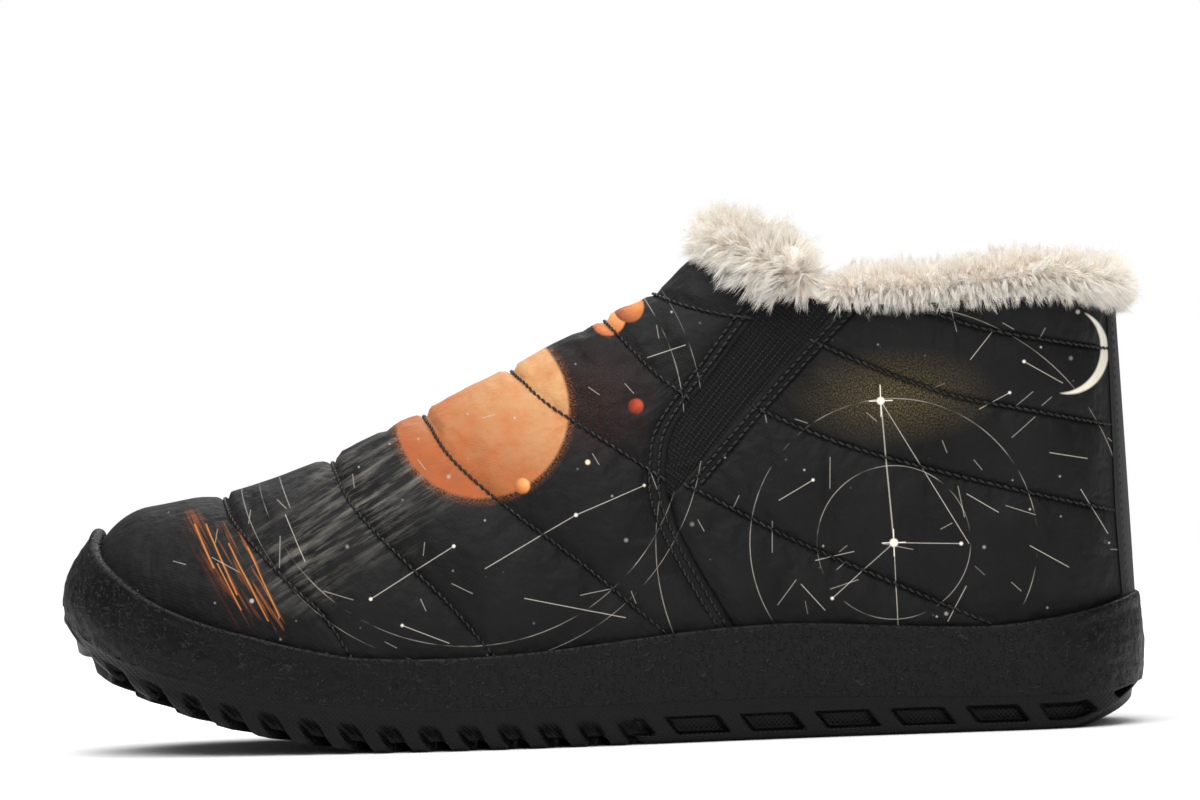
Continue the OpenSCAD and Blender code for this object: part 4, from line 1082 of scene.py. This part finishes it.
def fleeceRoll(name, path, radii, seed, replaces):
    rng = np.random.default_rng(seed)
    kind = fleece[name]
    ahead = np.gradient(path, axis=0)
    ahead /= np.linalg.norm(ahead, axis=1, keepdims=True)
    sideways = np.cross(ahead, [0, 0, 1])
    sideways /= np.linalg.norm(sideways, axis=1, keepdims=True)
    upward = np.cross(sideways, ahead)
    ring = 40
    a = np.linspace(0, 2 * math.pi, ring, endpoint=False)
    a = np.stack([a] * len(path))
    run = runOf(path)
    lumps = 1 + 0.10 * ripple(run[:, None] * 0.9 + 2 * np.cos(a), seed) + 0.07 * ripple(run[:, None] * 2.1
        + 3 * np.sin(a), seed + 2)
    core = (radii * kind["core"])[:, None] * lumps
    around = sideways[:, None] * np.cos(a)[..., None] + upward[:, None] * np.sin(a)[..., None]
    skin = path[:, None] + around * core[..., None]
    n = len(path)
    wrapFaces = []
    for i in range(n - 1):
        for j in range(ring):
            b, c = i * ring + j, i * ring + (j + 1) % ring
            wrapFaces.append((b, c, c + ring, b + ring))
    wrapFaces.append([j for j in range(ring - 1, -1, -1)])
    wrapFaces.append([(n - 1) * ring + j for j in range(ring)])
    # strands over the roll, and round its two ends
    count = int(fleece["strands"] * kind["share"])
    at = rng.uniform(-2.5, run[-1] + 2.5, count)
    s = np.clip(at, 0, run[-1])
    i = np.interp(s, run, np.arange(n))
    low = np.minimum(i.astype(int), n - 2)
    share = (i - low)[:, None]
    blend = lambda values: values[low] * (1 - share) + values[low + 1] * share
    angle = rng.uniform(0, 2 * math.pi, count)[:, None]
    # most fibres low on the hidden side are set on the outer side, over the seam
    outer = np.sign((blend(sideways) * (blend(path) - path.mean(axis=0))).sum(axis=1, keepdims=True))
    turnOut = (np.sin(angle) < -0.1) & (np.cos(angle) * outer < 0) & (rng.random((count, 1)) < 0.7)
    angle = np.where(turnOut, math.pi - angle, angle)
    normal = blend(sideways) * np.cos(angle) + blend(upward) * np.sin(angle)
    over = (at - s)[:, None] / 2.5
    normal = normal * np.sqrt(1 - over**2) + blend(ahead) * over
    roots = blend(path) + normal * (blend(radii[:, None]) * kind["core"] * 0.9)
    small = blend(radii[:, None]) / fleece["cuffRadius"]
    # fibres on the outside hang over the edge of the cloth
    outside = np.clip(normal[:, 1:2] * np.sign(roots[:, 1:2] - centreY(roots[:, :1])), 0, 1)
    lean = (np.array([0, 0, -1.1]) * np.clip(0.4 - normal[:, 2:], 0, 1.2) + normal * [0.2, 0.5, 0]) * outside
    hang = np.clip(0.35 - normal[:, 2:], 0, 1) * (np.cos(angle) * outer > -0.25)
    lean = lean + (blend(sideways) * outer * 1.9 + np.array([0, 0, -0.9])) * hang
    points, faces, tone = pileStrands(roots, normal, lean, kind["length"], fleece["width"], seed)
    points = (points.reshape(-1, 5, 3) - roots[:, None]) * (0.45 + 0.55 * small)[:, None] + roots[:, None]
    start = n * ring
    faces = wrapFaces + [[start + v for v in f] for f in faces]
    allPoints = np.concatenate((skin.reshape(-1, 3), points.reshape(-1, 3)))
    piece = makePiece(name, allPoints, faces, cuffFleece, replaces=replaces)
    # the core under the strands takes a darker, root-like tone: painted shade
    setPile(piece, np.concatenate((np.full(start, 0.25), tone)))
    return piece


fleeceRoll("cuffFront", *frontCuff(90), 11, ["collar_cuff_front"])
fleeceRoll("cuffRear", *rearCuff(190), 12, ["collar_cuff_rear"])
print("fleece cuffs")

lining = {"outer": 4.4, "inner": 7.0, "lumps": 0.0016, "size": 0.0055}


def lumpy(piece, strength, size, seedName):
    texture = bpy.data.textures.new(seedName, "CLOUDS")
    texture.noise_scale, texture.noise_depth = size, 3
    press = piece.modifiers.new(seedName, "DISPLACE")
    press.texture, press.texture_coords, press.strength, press.mid_level = texture, "LOCAL", strength, 0.5


cols, rows = 110, 120
outer, gap = vampGrid(lining["outer"], cols, rows, 0.5, 0.02)
inner, gap = vampGrid(lining["inner"], cols, rows, 0.5, 0.02)
points, faces = thickPanel(outer, inner, flip=True)
vampLining = makePiece("vampLining", points, faces, liningFleece, replaces=["vamp_lining"])
shares = np.linspace(-1, 1, 200)
outer, gap = quarterGrid(shares, np.linspace(0.03, 1, 100), ("below", "goreFront"), 1.0, lining["outer"])
inner, gap = quarterGrid(shares, np.linspace(0.03, 1, 100), ("below", "goreFront"), 1.0, lining["inner"])
points, faces = thickPanel(outer, inner, flip=True)
quarterLining = makePiece("quarterLining", points, faces, liningFleece, replaces=["quarter_lining"])
for piece in (vampLining, quarterLining):
    lumpy(piece, lining["lumps"], lining["size"], piece.name + "Lumps")
    setPile(piece, np.full(len(piece.data.vertices), 0.55))
print("lining")

# footbed

footbed = {"inset": 14.0, "base": 1.75, "foam": 3.9, "pile": 3.0, "toeExtra": 5.0, "lumps": 0.0014, "size": 0.005}
footbedFoam = innerMaterial("punchedFoamSheet", "#57575c", "#67676d", 1.2, 0.8)


def footbedLayer(name, low, high, material, replaces):
    inset = footbed["inset"] + 0.4 + footbed["toeExtra"] * np.clip((-85 - sx) / 40, 0, 1)
    inner = outline + inward * inset[:, None]
    spineX = inner[:, 0] * 0.85
    spine = np.column_stack((spineX, centreY(spineX)))
    loops = []
    for f in np.linspace(1, 0, 24):
        flat = inner + (spine - inner) * f
        loops.append(np.column_stack((flat, curve(profile["lastLevel"], flat[:, 0]) + high
            - 0.8 * smooth(0.06, 0, f))))
    for f in np.linspace(0, 1, 8):
        flat = inner + (spine - inner) * f
        loops.append(np.column_stack((flat, curve(profile["lastLevel"], flat[:, 0]) + low)))
    grid = np.array(loops).transpose(1, 0, 2)[::2]
    count, rows = grid.shape[:2]
    return makePiece(name, grid, gridFaces(count, rows, wrap=True), material, body="footbed", replaces=replaces)


foam = footbedLayer("footbedFoam", footbed["base"], footbed["base"] + footbed["foam"], footbedFoam,
    ["footbed_foam"])
pileTop = footbedLayer("footbedFleece", footbed["base"] + footbed["foam"] + 0.1, footbed["base"] + footbed["foam"]
    + footbed["pile"], liningFleece, ["footbed_fleece"])
lumpy(pileTop, footbed["lumps"], footbed["size"], "footbedLumps")
setPile(pileTop, np.full(len(pileTop.data.vertices), 0.55))
print("footbed")

# inner parts that keep their own shape

innerFinish = {
    "midsole_wedge": innerMaterial("closedCellFoam", "#343437", "#3f3f43", 1.0, 0.8),
    "insole_board": innerMaterial("celluloseBoard", "#b79f78", "#c9b28b", 0.8, 0.9),
    "toe_puff": innerMaterial("thermoplasticStiffener", "#a99a80", "#b9ab93", 0.6, 0.7),
    "shank": innerMaterial("springSteel", "#8d8f92", "#a2a4a8", 0.5, 0.35, 1.0),
}
innerFinish["heel_counter"] = innerFinish["toe_puff"]
for name, material in innerFinish.items():
    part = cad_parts[name]
    part.data.materials.clear()
    part.data.materials.append(material)

# floor and light

studio = {"floor": 1.25, "level": -0.0002, "key": 42, "fill": 9, "rim": 11, "sky": 0.22}
floorMaterial, add, skin, mm = newMaterial("paintedCyclorama", Roughness=0.9, **{"Specular IOR Level": 0.1})
speck = add("TexNoise", {"Vector": mm, "Scale": 0.02})
setInputs(skin, {"Base Color": add("Mix", {0: speck, 6: colour("#fbfbfb"), 7: colour("#ffffff")}, give=2,
    data_type="RGBA")})
half, level = studio["floor"], studio["level"]
mesh = bpy.data.meshes.new("studioFloor")
mesh.from_pydata([(x, y, level) for x, y in ((-half, -half), (half, -half), (half, half), (-half, half))], [],
    [(0, 1, 2, 3)])
mesh.materials.append(floorMaterial)
floor = bpy.data.objects.new("studioFloor", mesh)
bpy.context.scene.collection.objects.link(floor)


def softbox(name, spot, aim, size, power):
    data = bpy.data.lights.new(name, "AREA")
    data.shape, data.size, data.size_y, data.energy = "RECTANGLE", size[0], size[1], power
    lamp = bpy.data.objects.new(name, data)
    lamp.location = spot
    lamp.rotation_euler = (Vector(aim) - Vector(spot)).to_track_quat("-Z", "Y").to_euler()
    bpy.context.scene.collection.objects.link(lamp)


softbox("keyOverhead", (-0.2, -0.35, 1.5), (0, -0.05, 0), (2.0, 2.0), studio["key"])
softbox("fillFront", (0.5, -1.9, 0.7), (0, 0, 0.06), (1.2, 1.0), studio["fill"])
softbox("rimBehind", (0.3, 1.4, 1.1), (0, 0, 0.08), (1.4, 0.6), studio["rim"])
world = bpy.data.worlds.new("studioWorld")
bpy.context.scene.world = world
world.use_nodes = True
# the white surround is seen at full strength, and lights the boot only softly
sky = world.node_tree
seen = addNode(sky, "LightPath", give="Is Camera Ray")
sky.links.new(addNode(sky, "MapRange", {0: seen, 1: 0, 2: 1, 3: studio["sky"], 4: 1.0}),
    sky.nodes["Background"].inputs[1])
sky.nodes["Background"].inputs[0].default_value = (1, 1, 1, 1)
bpy.context.scene.view_settings.view_transform = "Standard"
